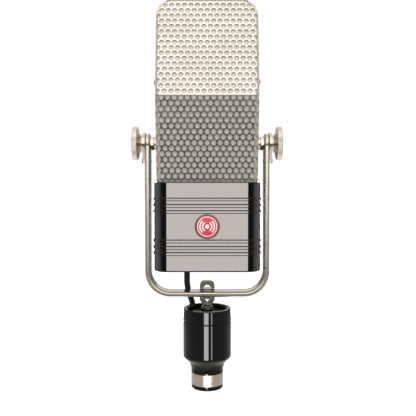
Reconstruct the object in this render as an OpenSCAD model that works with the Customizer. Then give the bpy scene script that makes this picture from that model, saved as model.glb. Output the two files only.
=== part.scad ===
// Side-address ribbon microphone on a cushion mount, in millimetres.
// +Z is up and the front faces -Y. The origin is the centre of the mount's
// underside, on the axis of the stand thread.

/* [Screen] */
// Width of the perforated screen
screen_w = 113.9; // [112:0.1:116]
// Half depth of the screen at its widest, where its faces fold
screen_fold_y = 43; // [40:0.5:45]
// Half depth of the screen at its foot
screen_foot_y = 24; // [22.5:0.5:25]
// Half depth of the screen at its top
screen_top_y = 22.5; // [21:0.5:26]
// Thickness of the perforated sheet
screen_t = 1.2; // [0.8:0.1:1.6]
// Radius of the two upper corners, seen from the front
screen_r = 20; // [16:0.5:24]

/* [Case] */
// Width of the lower case
case_w = 120.8; // [119:0.2:122]
// Depth of the lower case
case_d = 56; // [54:0.5:58]
// Radius of the case's upright corners
case_r = 17; // [14:0.5:20]
// Wall thickness of the case
case_t = 2.4; // [2:0.2:3]
// How far the ribs stand out of the case
rib_h = 0.9; // [0.5:0.1:1.2]
// Diameter of the enamel badge
badge_d = 25; // [20:0.5:26]

/* [Yoke] */
// Thickness of the yoke's bar
yoke_t = 5.8; // [5.6:0.1:6]
// Width of the yoke's bar, front to rear
yoke_w = 22.6; // [21:0.2:22.8]
// Outer radius of the yoke's lower corners
yoke_r = 28.5; // [24:0.5:32]
// Radius of the eyes at the tops of the arms
yoke_eye_r = 11.4; // [11.4:0.1:12]
// Diameter of the clamp knobs
knob_d = 38.3; // [34:0.1:40]
// Diameter of the pivot studs
stud_d = 8; // [7:0.5:8]

/* [Cushion mount] */
// Outer radius of the mount's drum
drum_r = 27.7; // [26.5:0.1:28.5]
// Outer radius of the nickel band
band_r = 18.5; // [17.5:0.05:18.6]
// Radius of the bore of the stand thread, at its crests
thread_r = 7.45; // [7.4:0.01:7.5]
// Radius of the stud that hangs in the rubber bushings
stem_r = 5; // [4:0.25:5]

/* [Motor] */
// Width of the ribbon
ribbon_w = 4.8; // [4:0.1:5]
// Length of the ribbon between its clamps
ribbon_l = 60; // [56:1:60]
// Gap between the pole pieces
pole_gap = 5.4; // [5.2:0.1:6]
// Thickness of the magnet, front to rear
magnet_d = 22; // [18:1:24]

/* [Hidden] */
$fn = 64;

// Levels above the mount's underside
z_band = 5;
z_neck = 18.5;
z_cap = 78.6;
z_rim = 93;
z_bar = 107;
z_case = 138.2;
z_screen = 239.1;
z_pivot = 283.1;
z_fold = 334.7;
z_side_screw = 353.4;
z_top = 443.1;
z_rivet = 262.9;
z_badge = 189.6;

// Distances from the middle plane along X
x_scr = screen_w / 2;
x_boss = 61;
x_arm = 65.1;
x_plate = x_arm + yoke_t;
x_washer = x_plate + 3.1;
x_hub = x_washer + 1.95;
x_knob = 85.2;
stud_r = stud_d / 2;
bore_r = stud_r + 0.05;

bar_z = z_bar + yoke_t / 2;
arm_x = x_arm + yoke_t / 2;
bend_r = yoke_r - yoke_t / 2;

// The ribs' lower and upper edges
ribs = [[218.3, 221.3], [211, 214.3], [204.2, 207.3], [171.3, 174.6], [164.1, 167.3], [157.2, 160.6]];

// The lead's route from inside the case to its fitting on the mount
lead_r = 3.5;
lead = [[-24, 18, 140.2], [-24, 18, 131.2], [-24, 18, 125.4], [-23.9, 18.2, 118.8],
    [-23.1, 19, 112.4], [-21.7, 20.8, 106.4], [-20, 23.6, 100.4], [-18.2, 26.6, 94],
    [-17.2, 28.6, 87], [-17, 29.7, 79.4], [-17.4, 29.9, 71.2], [-17.6, 29.8, 63],
    [-16.2, 30.4, 55.2], [-12.4, 31.6, 48.2], [-6.6, 32.8, 43.8], [0.5, 33.2, 42.2],
    [7.6, 32.8, 43.6], [13.4, 31.6, 47.6], [17, 30, 52.4], [18.4, 29, 57], [18.4, 29, 63]];
inlet = [18.4, 29];
gland = [-24, 18];

// ---------- helpers ----------

// Unit vector
function unit(v) = v / norm(v);

// Direction of a route at its point i
function along(p, i) = unit(p[min(i + 1, len(p) - 1)] - p[max(i - 1, 0)]);

// Carries a cross direction along a route without twist
function carry(p, i) = i == 0 ? [1, 0, 0] :
    let (a = carry(p, i - 1), t = along(p, i)) unit(a - (a * t) * t);

// Corner points of a polygon turned into arcs of radius r, n steps each
function rounded(p, r, n = 6) = [for (i = [0:len(p) - 1])
    let (a = p[(i + len(p) - 1) % len(p)], b = p[i], c = p[(i + 1) % len(p)],
        u = unit(a - b), v = unit(c - b), h = acos(u * v) / 2,
        d = r[i] / tan(h), m = b + unit(u + v) * r[i] / sin(h),
        s = b + u * d - m, e = b + v * d - m)
    each (r[i] == 0 ? [b] : [for (k = [0:n])
        let (w = k / n, q = 180 - 2 * h) m + (s * sin(q * (1 - w)) + e * sin(q * w)) / sin(q)])];

module along_y(h) { rotate([90, 0, 0]) linear_extrude(height = h, center = true) children(); }
module along_x(h) { rotate([90, 0, 90]) linear_extrude(height = h, center = true) children(); }

// Rod along +X from x0 to x1
module rod_x(r, x0, x1, fn = 64) {
    translate([x0, 0, 0]) rotate([0, 90, 0]) cylinder(r = r, h = x1 - x0, $fn = fn);
}

// Rod along Y from y0 to y1
module rod_y(r, y0, y1, fn = 64) {
    translate([0, y1, 0]) rotate([90, 0, 0]) cylinder(r = r, h = y1 - y0, $fn = fn);
}

module ring(r1, r0, z0, z1) {
    translate([0, 0, z0]) difference() {
        cylinder(r = r1, h = z1 - z0, $fn = 96);
        translate([0, 0, -1]) cylinder(r = r0, h = z1 - z0 + 2);
    }
}

// Rectangle with round corners
module plan(w, d, r) {
    square([w - 2 * r, d], center = true);
    square([w, d - 2 * r], center = true);
    for (x = [-1, 1], y = [-1, 1]) translate([x * (w / 2 - r), y * (d / 2 - r)]) circle(r = r, $fn = 64);
}

// Front outline of the screen, g inside its outer face
module screen_outline(g) {
    w = x_scr - g;
    r = screen_r - g;
    translate([-w, z_screen - 1]) square([2 * w, z_top - g - r - z_screen + 1]);
    translate([-w + r, z_screen - 1]) square([2 * (w - r), z_top - g - z_screen + 1]);
    for (s = [-1, 1]) translate([s * (w - r), z_top - g - r]) circle(r = r, $fn = 96);
}

// Side profile of the screen, g inside its outer face
module screen_profile(g) {
    polygon(rounded([[screen_foot_y - g, z_screen - 2], [screen_foot_y - g, z_screen],
        [screen_fold_y - g, z_fold], [screen_top_y - g, z_top - g],
        [-screen_top_y + g, z_top - g], [-screen_fold_y + g, z_fold],
        [-screen_foot_y + g, z_screen], [-screen_foot_y + g, z_screen - 2]],
        [0, 0, 3, 6, 6, 3, 0, 0]));
}

module screen_solid(g) {
    intersection() {
        along_y(120) screen_outline(g);
        along_x(160) screen_profile(g);
    }
}

// One half of a shell of the screen, side -1 is the front
module screen_half(g, t, side) {
    difference() {
        screen_solid(g);
        screen_solid(g + t);
        translate([-100, side < 0 ? -0.05 : -100.05, 200]) cube([200, 100.1, 300]);
        translate([-100, -100, 200]) cube([200, 200, z_screen - 200]);
        translate([0, 0, z_pivot]) rod_x(bore_r + 0.3, -80, 80);
        translate([0, 0, z_side_screw]) rod_x(2.1, -80, 80);
    }
}

// ---------- cushion mount ----------

module bottom_ring() {
    color([0.05, 0.05, 0.05]) rotate_extrude($fn = 96)
        polygon([[11, 0], [17.3, 0], [18, 0.35], [18.3, 1.1], [18.3, z_band], [11, z_band]]);
}

module nickel_band() {
    color([0.72, 0.68, 0.62]) rotate_extrude($fn = 96)
        polygon([[11, z_band], [band_r - 0.3, z_band], [band_r, z_band + 0.3],
            [band_r, z_neck - 0.3], [band_r - 0.3, z_neck], [11, z_neck]]);
}

module thread_insert() {
    color([0.78, 0.62, 0.32]) ring(11, thread_r, 0, 20);
}

module mount_housing() {
    color([0.04, 0.04, 0.045]) difference() {
        rotate_extrude($fn = 96) polygon([[11, z_neck], [18.6, z_neck], [18.6, 21.5], [18.9, 24.1],
            [19.6, 26.4], [20.5, 28.7], [21.9, 30.9], [24.3, 33.3], [26.6, 35.3],
            [27.4, 36.5], [drum_r, 38.2], [drum_r, 77.9], [24.3, 77.9], [24.3, 49], [21, 49], [21, 37],
            [9, 37], [9, 20], [11, 20]]);
        translate([0, 0, 64]) rotate([0, 0, atan2(inlet[1], inlet[0])]) rod_x(4, 20, 40);
    }
}

module mount_cap() {
    color([0.04, 0.04, 0.045]) rotate_extrude($fn = 96)
        polygon([[24.2, 72.9], [24.2, 78], [27, 78], [27, z_cap], [drum_r + 0.05, z_cap + 0.3],
            [drum_r + 0.05, z_rim - 0.7], [27.2, z_rim], [23.4, z_rim], [22.8, z_rim - 0.6],
            [22.8, 82.9], [17, 82.9], [17, 78.9], [21, 78.9], [21, 72.9]]);
}

module upper_bushing() {
    color([0.09, 0.09, 0.09]) rotate_extrude($fn = 96)
        polygon([[stem_r + 0.05, 82.92], [22.7, 82.92], [22.7, 86.5], [21.6, 87.3], [stem_r + 0.05, 87.3]]);
}

module lower_bushing() {
    color([0.09, 0.09, 0.09]) ring(24.2, stem_r + 0.05, 49.02, 57);
}

// Elbow through which the lead enters the mount
module lead_inlet() {
    a = atan2(inlet[1], inlet[0]);
    color([0.06, 0.06, 0.06]) difference() {
        union() {
            translate([inlet[0], inlet[1], 58]) cylinder(r1 = 5, r2 = 6, h = 4);
            translate([inlet[0], inlet[1], 62]) cylinder(r = 6, h = 7);
            translate([inlet[0], inlet[1], 69]) cylinder(r1 = 6, r2 = 4.4, h = 1.6);
            difference() {
                translate([0, 0, 64]) rotate([0, 0, a]) rod_x(5.4, 24, norm(inlet));
                cylinder(r = drum_r, h = 100, $fn = 96);
            }
            translate([0, 0, 64]) rotate([0, 0, a]) rod_x(3.95, 23, norm(inlet));
        }
        translate([inlet[0], inlet[1], 50]) cylinder(r = 3.8, h = 15);
    }
}

// ---------- suspension ----------

// Stud that hangs in the bushings, with an eye under the yoke
module eye_stud() {
    color([0.7, 0.66, 0.6]) {
        translate([0, 0, 41]) cylinder(r = stem_r, h = 56);
        difference() {
            along_y(9) polygon([[-4.6, 96.4], [4.6, 96.4], [7.4, 100.8], [8.7, 103.4], [8.7, 104.5],
                [-8.7, 104.5], [-8.7, 103.4], [-7.4, 100.8]]);
            along_y(30) polygon([[0, 99.3], [4.6, 103.8], [-4.6, 103.8]]);
        }
        translate([0, 0, 104.5]) cylinder(r = 8.9, h = z_bar - 104.5);
        translate([0, 0, z_bar - 0.01]) cylinder(r = 4.9, h = 7.4);
    }
}

// Eye that screws down on the stud above the yoke
module eye_nut() {
    color([0.7, 0.66, 0.6]) difference() {
        union() {
            translate([0, 0, z_bar + yoke_t]) cylinder(r = 8.9, h = 2.4);
            along_y(9) polygon([[-8.3, 115.1], [8.3, 115.1], [8.8, 117], [8, 120.4], [6.4, 123.4],
                [4.6, 124.6], [-4.6, 124.6], [-6.4, 123.4], [-8, 120.4], [-8.8, 117]]);
        }
        along_y(30) polygon([[-5.2, 115.6], [5.2, 115.6], [3.6, 118], [0.9, 120.5], [-0.9, 120.5], [-3.6, 118]]);
        translate([0, 0, 102]) cylinder(r = 4.95, h = 12.8);
    }
}

module crown_nut() {
    color([0.72, 0.68, 0.62]) difference() {
        union() {
            translate([0, 0, 88.32]) cylinder(r = 7.7, h = 4, $fn = 6);
            translate([0, 0, 92.32]) cylinder(r = 6.5, h = 2.5);
        }
        translate([0, 0, 82]) cylinder(r = stem_r, h = 20);
        for (k = [0:2]) translate([0, 0, 93.2]) rotate([0, 0, 60 * k]) translate([-10, -1, 0]) cube([20, 2, 4]);
    }
}

module stud_washers() {
    color([0.6, 0.6, 0.6]) {
        ring(8.4, stem_r, 87.32, 88.32);
        ring(12, stem_r, 57.02, 58.5);
        ring(12, stem_r, 47.5, 49);
    }
}

module stop_nut() {
    color([0.6, 0.6, 0.6]) difference() {
        translate([0, 0, 42.6]) cylinder(r = 7.7, h = 4.9, $fn = 6);
        translate([0, 0, 40]) cylinder(r = stem_r, h = 20);
    }
}

// Cross-section of the yoke's bar, flat with round edges
module bar_section() {
    plan(yoke_t, yoke_w, 1.9);
}

module yoke() {
    color([0.75, 0.7, 0.63]) difference() {
        union() {
            rotate([0, 90, 0]) translate([-bar_z, 0, -(arm_x - bend_r)])
                linear_extrude(height = 2 * (arm_x - bend_r)) bar_section();
            for (s = [0, 1]) mirror([s, 0, 0]) {
                translate([arm_x - bend_r, 0, bar_z + bend_r]) rotate([-90, 0, 0])
                    rotate_extrude(angle = 90, $fn = 96) translate([bend_r, 0]) bar_section();
                translate([arm_x, 0, bar_z + bend_r])
                    linear_extrude(height = z_pivot - bar_z - bend_r) bar_section();
                translate([0, 0, z_pivot]) rod_x(yoke_eye_r, x_arm, x_arm + yoke_t, 96);
            }
        }
        translate([0, 0, z_pivot]) rod_x(bore_r, -90, 90);
        translate([0, 0, z_rivet]) rod_x(2.2, -90, 90);
        translate([0, 0, z_bar - 10]) cylinder(r = 5, h = 30);
    }
}

// Pear-shaped plate outside an arm, riveted below the pivot
module anti_turn_plate(s) {
    color([0.7, 0.66, 0.6]) mirror([s < 0 ? 1 : 0, 0, 0]) difference() {
        translate([x_plate + 1.5, 0, 0]) along_x(3) {
            translate([0, z_pivot]) circle(r = 12.2, $fn = 96);
            translate([0, z_rivet + 3.6]) circle(r = 5.2, $fn = 64);
            polygon([[-11.3, z_pivot - 4.6], [-4.8, z_rivet + 1.6], [4.8, z_rivet + 1.6], [11.3, z_pivot - 4.6]]);
        }
        translate([0, 0, z_pivot]) rod_x(bore_r, 0, 90);
        translate([0, 0, z_rivet]) rod_x(2.2, 0, 90);
    }
}

module yoke_rivets() {
    color([0.7, 0.66, 0.6]) for (s = [0, 1]) mirror([s, 0, 0]) translate([0, 0, z_rivet]) {
        rod_x(2.2, x_arm - 0.02, x_plate + 3.02);
        translate([x_plate + 3, 0, 0]) rotate([0, 90, 0]) cylinder(r1 = 3.4, r2 = 2, h = 1.4);
        translate([x_arm, 0, 0]) rotate([0, -90, 0]) cylinder(r1 = 3.4, r2 = 2, h = 1.2);
    }
}

// ---------- screen ----------

module windscreen_front() { color([0.83, 0.8, 0.75]) screen_half(0, screen_t, -1); }
module windscreen_rear() { color([0.83, 0.8, 0.75]) screen_half(0, screen_t, 1); }
module screen_cloth_front() { color([0.6, 0.58, 0.55]) screen_half(screen_t + 0.5, 0.4, -1); }
module screen_cloth_rear() { color([0.6, 0.58, 0.55]) screen_half(screen_t + 0.5, 0.4, 1); }

// Upright that carries a pivot stud and holds the screen's side
module chassis_bracket(s) {
    color([0.35, 0.36, 0.38]) mirror([s < 0 ? 1 : 0, 0, 0]) difference() {
        union() {
            translate([38, -12, 236.8]) cube([14, 24, 3]);
            translate([49, -12, 239.8]) cube([3, 24, 125]);
        }
        translate([0, 0, z_pivot]) rod_x(bore_r, 0, 90);
        translate([0, 0, z_side_screw]) rod_x(2, 0, 90);
    }
}

// ---------- case ----------

module base_shell() {
    color([0.03, 0.03, 0.035]) difference() {
        union() {
            translate([0, 0, z_case + 1.6]) linear_extrude(height = z_screen - z_case - 1.6) plan(case_w, case_d, case_r);
            translate([0, 0, z_case + 0.6]) linear_extrude(height = 1) plan(case_w - 0.7, case_d - 0.7, case_r - 0.35);
            translate([0, 0, z_case]) linear_extrude(height = 0.6) plan(case_w - 2, case_d - 2, case_r - 1);
            for (r = ribs) translate([0, 0, r[0]]) linear_extrude(height = r[1] - r[0])
                plan(case_w + 2 * rib_h, case_d + 2 * rib_h, case_r + rib_h);
        }
        translate([0, 0, z_case - 1]) linear_extrude(height = z_screen - z_case + 1 - case_t)
            plan(case_w - 2 * case_t, case_d - 2 * case_t, case_r - case_t);
        translate([-54, -19, z_screen - 10]) cube([108, 38, 20]);
    }
}

module base_bottom_plate() {
    color([0.05, 0.05, 0.05]) difference() {
        translate([0, 0, z_case + 1]) linear_extrude(height = 2.4)
            plan(case_w - 2 * case_t - 0.2, case_d - 2 * case_t - 0.2, case_r - case_t - 0.1);
        translate([gland[0], gland[1], 130]) cylinder(r = 5.05, h = 20);
        for (x = [-46, 46], y = [-17, 17]) translate([x, y, 130]) cylinder(r = 2, h = 20);
    }
}

module base_screws() {
    color([0.55, 0.55, 0.55]) for (x = [-46, 46], y = [-17, 17]) translate([x, y, 0]) difference() {
        union() {
            translate([0, 0, z_case + 0.1]) cylinder(r1 = 2.9, r2 = 3.6, h = 0.9);
            translate([0, 0, z_case + 0.9]) cylinder(r = 2, h = 8);
        }
        translate([-5, -0.4, z_case - 1]) cube([10, 0.8, 1.6]);
    }
}

module badge_bezel() {
    color([0.12, 0.11, 0.11]) translate([0, -case_d / 2, z_badge]) difference() {
        rod_y(badge_d / 2 + 1.55, -1.3, 0, 96);
        rod_y(badge_d / 2, -3, 3, 96);
    }
}

module badge_disc() {
    color([0.72, 0.13, 0.2]) translate([0, -case_d / 2, z_badge]) rod_y(badge_d / 2, -1, 0, 96);
}

// ---------- motor ----------

module horseshoe_magnet() {
    color([0.3, 0.31, 0.33]) difference() {
        union() {
            translate([0, 0, 206.9]) rod_y(36, -magnet_d / 2, magnet_d / 2, 96);
            translate([-36, -magnet_d / 2, 206.9]) cube([72, magnet_d, 42]);
        }
        translate([0, 0, 206.9]) rod_y(17, -30, 30);
        translate([-17, -30, 206.9]) cube([34, 60, 60]);
    }
}

module motor_plate() {
    color([0.4, 0.4, 0.42]) difference() {
        translate([0, 0, 233.8]) linear_extrude(height = 2.9) plan(112, 44, 14);
        for (s = [-1, 1]) translate([s * 26.5 - 9.7, -magnet_d / 2 - 0.2, 224]) cube([19.4, magnet_d + 0.4, 30]);
    }
}

module pole_piece(s) {
    g = pole_gap / 2;
    color([0.5, 0.5, 0.52]) mirror([s < 0 ? 1 : 0, 0, 0])
        along_y(12) polygon([[17.2, 248.9], [35.8, 248.9], [35.8, 258.9], [12, 375.4], [g + 1.5, 377.2], [g, 376], [g, 293.4], [17.2, 254.9]]);
}

module pole_bridge_top() {
    color([0.8, 0.65, 0.35]) translate([-11, -8, 377.2]) cube([22, 16, 6]);
}

module pole_bridge_bottom() {
    color([0.35, 0.2, 0.12]) translate([-16, 6, 285.4]) cube([32, 4, 12]);
}

module ribbon_clamp_top() {
    color([0.8, 0.65, 0.35]) translate([-2.4, -4, z_fold + ribbon_l / 2]) cube([4.8, 8, 377.2 - z_fold - ribbon_l / 2]);
}

module ribbon_clamp_bottom() {
    color([0.8, 0.65, 0.35]) translate([-2.4, -4, 287.4]) cube([4.8, 10, z_fold - ribbon_l / 2 - 287.4]);
}

// Corrugated foil
module ribbon() {
    n = 40;
    z0 = z_fold - ribbon_l / 2;
    a = 0.45;
    t = 0.1;
    color([0.85, 0.85, 0.87]) along_x(ribbon_w) polygon(concat(
        [for (i = [0:n]) [(i % 2 == 0 ? a : -a) - t, z0 + ribbon_l * i / n]],
        [for (i = [n:-1:0]) [(i % 2 == 0 ? a : -a) + t, z0 + ribbon_l * i / n]]));
}

// ---------- output ----------

module transformer_core() {
    color([0.42, 0.4, 0.38]) difference() {
        translate([-22, -8, 141.6]) cube([44, 16, 26]);
        for (s = [-1, 1]) translate([s * 10.5 - 4.5, -20, 147.6]) cube([9, 40, 14]);
    }
}

module transformer_coil() {
    color([0.6, 0.3, 0.12]) difference() {
        translate([-14.6, -12.5, 148]) cube([29.2, 25, 13.2]);
        translate([-6.2, -8.2, 141.6]) cube([12.4, 16.4, 30]);
    }
}

module terminal_board() {
    color([0.4, 0.25, 0.14]) translate([0, 15, 0]) {
        translate([-24, 0, 178.9]) cube([48, 2.4, 34]);
        for (x = [-16, 0, 16]) translate([x, 0, 195.9]) rod_y(2, -2.5, 0);
    }
}

// ---------- pivots ----------

module pivot_studs() {
    color([0.6, 0.6, 0.6]) for (s = [0, 1]) mirror([s, 0, 0]) translate([0, 0, z_pivot]) {
        rod_x(stud_r, 46, 83);
        rod_x(6.5, 45, 49);
    }
}

module pivot_bosses() {
    color([0.7, 0.66, 0.6]) for (s = [0, 1]) mirror([s, 0, 0]) translate([0, 0, z_pivot]) difference() {
        rod_x(7.8, x_scr, x_boss, 96);
        rod_x(stud_r, 50, 70);
    }
}

module jam_nuts() {
    color([0.7, 0.66, 0.6]) for (s = [0, 1]) mirror([s, 0, 0]) translate([0, 0, z_pivot]) difference() {
        rotate([s == 0 ? 12 : 24, 0, 0]) rod_x(8.08, x_boss, x_arm - 0.15, 6);
        rod_x(stud_r, 50, 70);
    }
}

module side_screws() {
    color([0.7, 0.66, 0.6]) for (s = [0, 1]) mirror([s, 0, 0]) translate([0, 0, z_side_screw]) difference() {
        union() {
            rod_x(2, 45, x_scr);
            translate([x_scr, 0, 0]) rotate([0, 90, 0]) cylinder(r = 4.4, h = 2.4);
            translate([x_scr + 2.4, 0, 0]) rotate([0, 90, 0]) cylinder(r1 = 4.4, r2 = 2.6, h = 2);
        }
        translate([x_scr + 3.2, -6, -0.5]) cube([4, 12, 1]);
    }
}

module washers(s) {
    color([0.72, 0.7, 0.66]) mirror([s < 0 ? 1 : 0, 0, 0]) translate([0, 0, z_pivot]) difference() {
        union() {
            rod_x(10.2, x_washer - 0.05, x_washer + 0.95, 96);
            rod_x(8.8, x_washer + 0.95, x_hub - 0.05, 96);
        }
        rod_x(bore_r, 50, 90);
    }
}

// Clamp knob with a waisted hub and a milled rim
module knob(s) {
    r = knob_d / 2;
    color([0.75, 0.71, 0.65]) mirror([s < 0 ? 1 : 0, 0, 0]) translate([0, 0, z_pivot]) rotate([0, 90, 0])
        difference() {
            rotate_extrude($fn = 120) polygon([[0, x_hub], [9.1, x_hub], [9.3, x_hub + 0.4], [10.5, x_hub + 0.9],
                [12.1, x_hub + 2.1], [14, x_hub + 2.9], [r - 1.6, x_hub + 3.3], [r - 0.4, x_hub + 3.7],
                [r, x_hub + 4.2], [r, x_knob - 0.5], [r - 0.5, x_knob], [r - 3, x_knob], [r - 3.8, x_knob - 0.6],
                [7, x_knob - 0.6], [6, x_knob], [0, x_knob]]);
            translate([0, 0, 60]) cylinder(r = bore_r, h = 23.6);
        }
}

// ---------- lead ----------

module cable_gland() {
    color([0.05, 0.05, 0.05]) translate([gland[0], gland[1], 0]) difference() {
        union() {
            translate([0, 0, 131.2]) cylinder(r1 = 4.6, r2 = 5.6, h = 6);
            translate([0, 0, 137.2]) cylinder(r = 6.6, h = 2);
            translate([0, 0, 139.1]) cylinder(r = 5, h = 5);
            translate([0, 0, 141.6]) cylinder(r = 7, h = 2.6);
        }
        translate([0, 0, 122]) cylinder(r = 3.6, h = 40);
    }
}

module cable() {
    n = 8;
    m = len(lead);
    pts = [for (i = [0:m - 1]) let (t = along(lead, i), a = carry(lead, i), b = cross(t, a))
        for (k = [0:n - 1]) lead[i] + lead_r * (a * cos(360 * k / n) + b * sin(360 * k / n))];
    faces = concat(
        [[for (k = [0:n - 1]) k]],
        [[for (k = [n - 1:-1:0]) (m - 1) * n + k]],
        [for (i = [0:m - 2], k = [0:n - 1])
            [i * n + k, (i + 1) * n + k, (i + 1) * n + (k + 1) % n, i * n + (k + 1) % n]]);
    color([0.07, 0.07, 0.07]) polyhedron(points = pts, faces = faces, convexity = 6);
}

bottom_ring();
nickel_band();
thread_insert();
mount_housing();
mount_cap();
upper_bushing();
lower_bushing();
lead_inlet();
eye_stud();
crown_nut();
stud_washers();
stop_nut();
eye_nut();
yoke();
anti_turn_plate(-1);  // anti_turn_plate_left
anti_turn_plate(1);  // anti_turn_plate_right
yoke_rivets();
windscreen_front();
windscreen_rear();
screen_cloth_front();
screen_cloth_rear();
chassis_bracket(-1);  // chassis_bracket_left
chassis_bracket(1);  // chassis_bracket_right
base_shell();
base_bottom_plate();
base_screws();
badge_bezel();
badge_disc();
horseshoe_magnet();
motor_plate();
pole_piece(-1);  // pole_piece_left
pole_piece(1);  // pole_piece_right
pole_bridge_top();
pole_bridge_bottom();
ribbon();
ribbon_clamp_top();
ribbon_clamp_bottom();
transformer_core();
transformer_coil();
terminal_board();
pivot_studs();
pivot_bosses();
jam_nuts();
side_screws();
cable_gland();
cable();
washers(-1);  // washers_left
knob(-1);  // knob_left
washers(1);  // washers_right
knob(1);  // knob_right
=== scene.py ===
"""Looks of the ribbon microphone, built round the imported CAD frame. Lengths in the builders below are millimetres."""

import math

import bpy
from mathutils import Matrix, Vector


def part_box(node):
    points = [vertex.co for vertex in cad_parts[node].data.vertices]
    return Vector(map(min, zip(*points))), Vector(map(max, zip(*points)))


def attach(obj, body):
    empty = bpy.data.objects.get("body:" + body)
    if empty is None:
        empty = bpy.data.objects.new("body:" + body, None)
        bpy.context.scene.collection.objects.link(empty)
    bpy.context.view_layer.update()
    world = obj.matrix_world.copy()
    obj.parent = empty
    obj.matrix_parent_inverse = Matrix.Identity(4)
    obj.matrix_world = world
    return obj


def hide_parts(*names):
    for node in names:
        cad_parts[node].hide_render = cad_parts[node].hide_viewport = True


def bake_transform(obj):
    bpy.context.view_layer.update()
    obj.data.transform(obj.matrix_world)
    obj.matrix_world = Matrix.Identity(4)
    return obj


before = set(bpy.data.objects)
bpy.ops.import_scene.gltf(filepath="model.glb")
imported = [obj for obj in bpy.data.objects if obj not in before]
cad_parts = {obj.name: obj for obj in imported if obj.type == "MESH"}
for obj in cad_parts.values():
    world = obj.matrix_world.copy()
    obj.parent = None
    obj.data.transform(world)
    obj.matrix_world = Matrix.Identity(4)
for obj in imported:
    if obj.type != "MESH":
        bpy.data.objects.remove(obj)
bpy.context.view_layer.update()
scene = bpy.context.scene
pi = math.pi


# ---------------------------------------------------------------- camera

cam_data = bpy.data.cameras.new("camera")
cam_data.lens = 56.25
cam_data.sensor_width = 36
cam_data.shift_y = -0.04
cam_data.clip_start = 0.01
cam_data.clip_end = 60
camera = bpy.data.objects.new("camera", cam_data)
scene.collection.objects.link(camera)
camera.location = (0.0009, -0.750, 0.2548)
camera.rotation_euler = (math.radians(90 - 2.058), 0, 0)
scene.camera = camera


# ---------------------------------------------------------------- sizes from the frame


def mm_box(node):
    low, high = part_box(node)
    return [1000 * v for v in low], [1000 * v for v in high]


low, high = mm_box("windscreen_front")
X_SCR, Z_SCREEN, Z_TOP, Y_FOLD = high[0], low[2], high[2], -low[1] + 0.11
low, high = mm_box("base_shell")
RIB_H = 0.9
CASE_W, CASE_D, Z_CASE = 2 * (high[0] - RIB_H), 2 * (high[1] - RIB_H), low[2]
CASE_R, CASE_T = 17.0, 2.4
low, high = mm_box("pivot_studs")
Z_PIVOT, STUD_R = (low[2] + high[2]) / 2, 4.0
low, high = mm_box("side_screws")
Z_SIDE, X_SIDE = (low[2] + high[2]) / 2, high[0]
low, high = mm_box("yoke")
X_PLATE, Z_BAR, YOKE_W = high[0], low[2], 22.6
YOKE_T = 5.8
X_ARM = X_PLATE - YOKE_T
YOKE_R, EYE_R = 28.5, 11.4
low, high = mm_box("yoke_rivets")
Z_RIVET = (low[2] + high[2]) / 2
low, high = mm_box("badge_disc")
Z_BADGE, BADGE_R = (low[2] + high[2]) / 2, (high[0] - low[0]) / 2
low, high = mm_box("knob_right")
X_HUB, X_KNOB, KNOB_R = low[0], high[0], (high[2] - low[2]) / 2
low, high = mm_box("washers_right")
X_WASHER = low[0]
low, high = mm_box("mount_cap")
Z_RIM, DRUM_R = high[2], high[0]
low, high = mm_box("nickel_band")
Z_BAND, Z_NECK, BAND_R = low[2], high[2], high[0]
Z_CAP = Z_RIM - 14.4
Z_FOLD = 334.7
FOOT_Y, TOP_Y, CORNER_R, BEND_R, SHEET_T = 24.0, 22.5, 20.0, 5.0, 1.2
RIBS = [(218.3, 221.3), (211, 214.3), (204.2, 207.3), (171.3, 174.6), (164.1, 167.3), (157.2, 160.6)]
LEAD = [(-24, 18, 140.2), (-24, 18, 131.2), (-24, 18, 125.4), (-23.9, 18.2, 118.8),
        (-23.1, 19, 112.4), (-21.7, 20.8, 106.4), (-20, 23.6, 100.4), (-18.2, 26.6, 94),
        (-17.2, 28.6, 87), (-17, 29.7, 79.4), (-17.4, 29.9, 71.2), (-17.6, 29.8, 63),
        (-16.2, 30.4, 55.2), (-12.4, 31.6, 48.2), (-6.6, 32.8, 43.8), (0.5, 33.2, 42.2),
        (7.6, 32.8, 43.6), (13.4, 31.6, 47.6), (17, 30, 52.4), (18.4, 29, 57), (18.4, 29, 63)]
INLET, GLAND = (18.4, 29.0), (-24.0, 18.0)


# ---------------------------------------------------------------- materials


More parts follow.
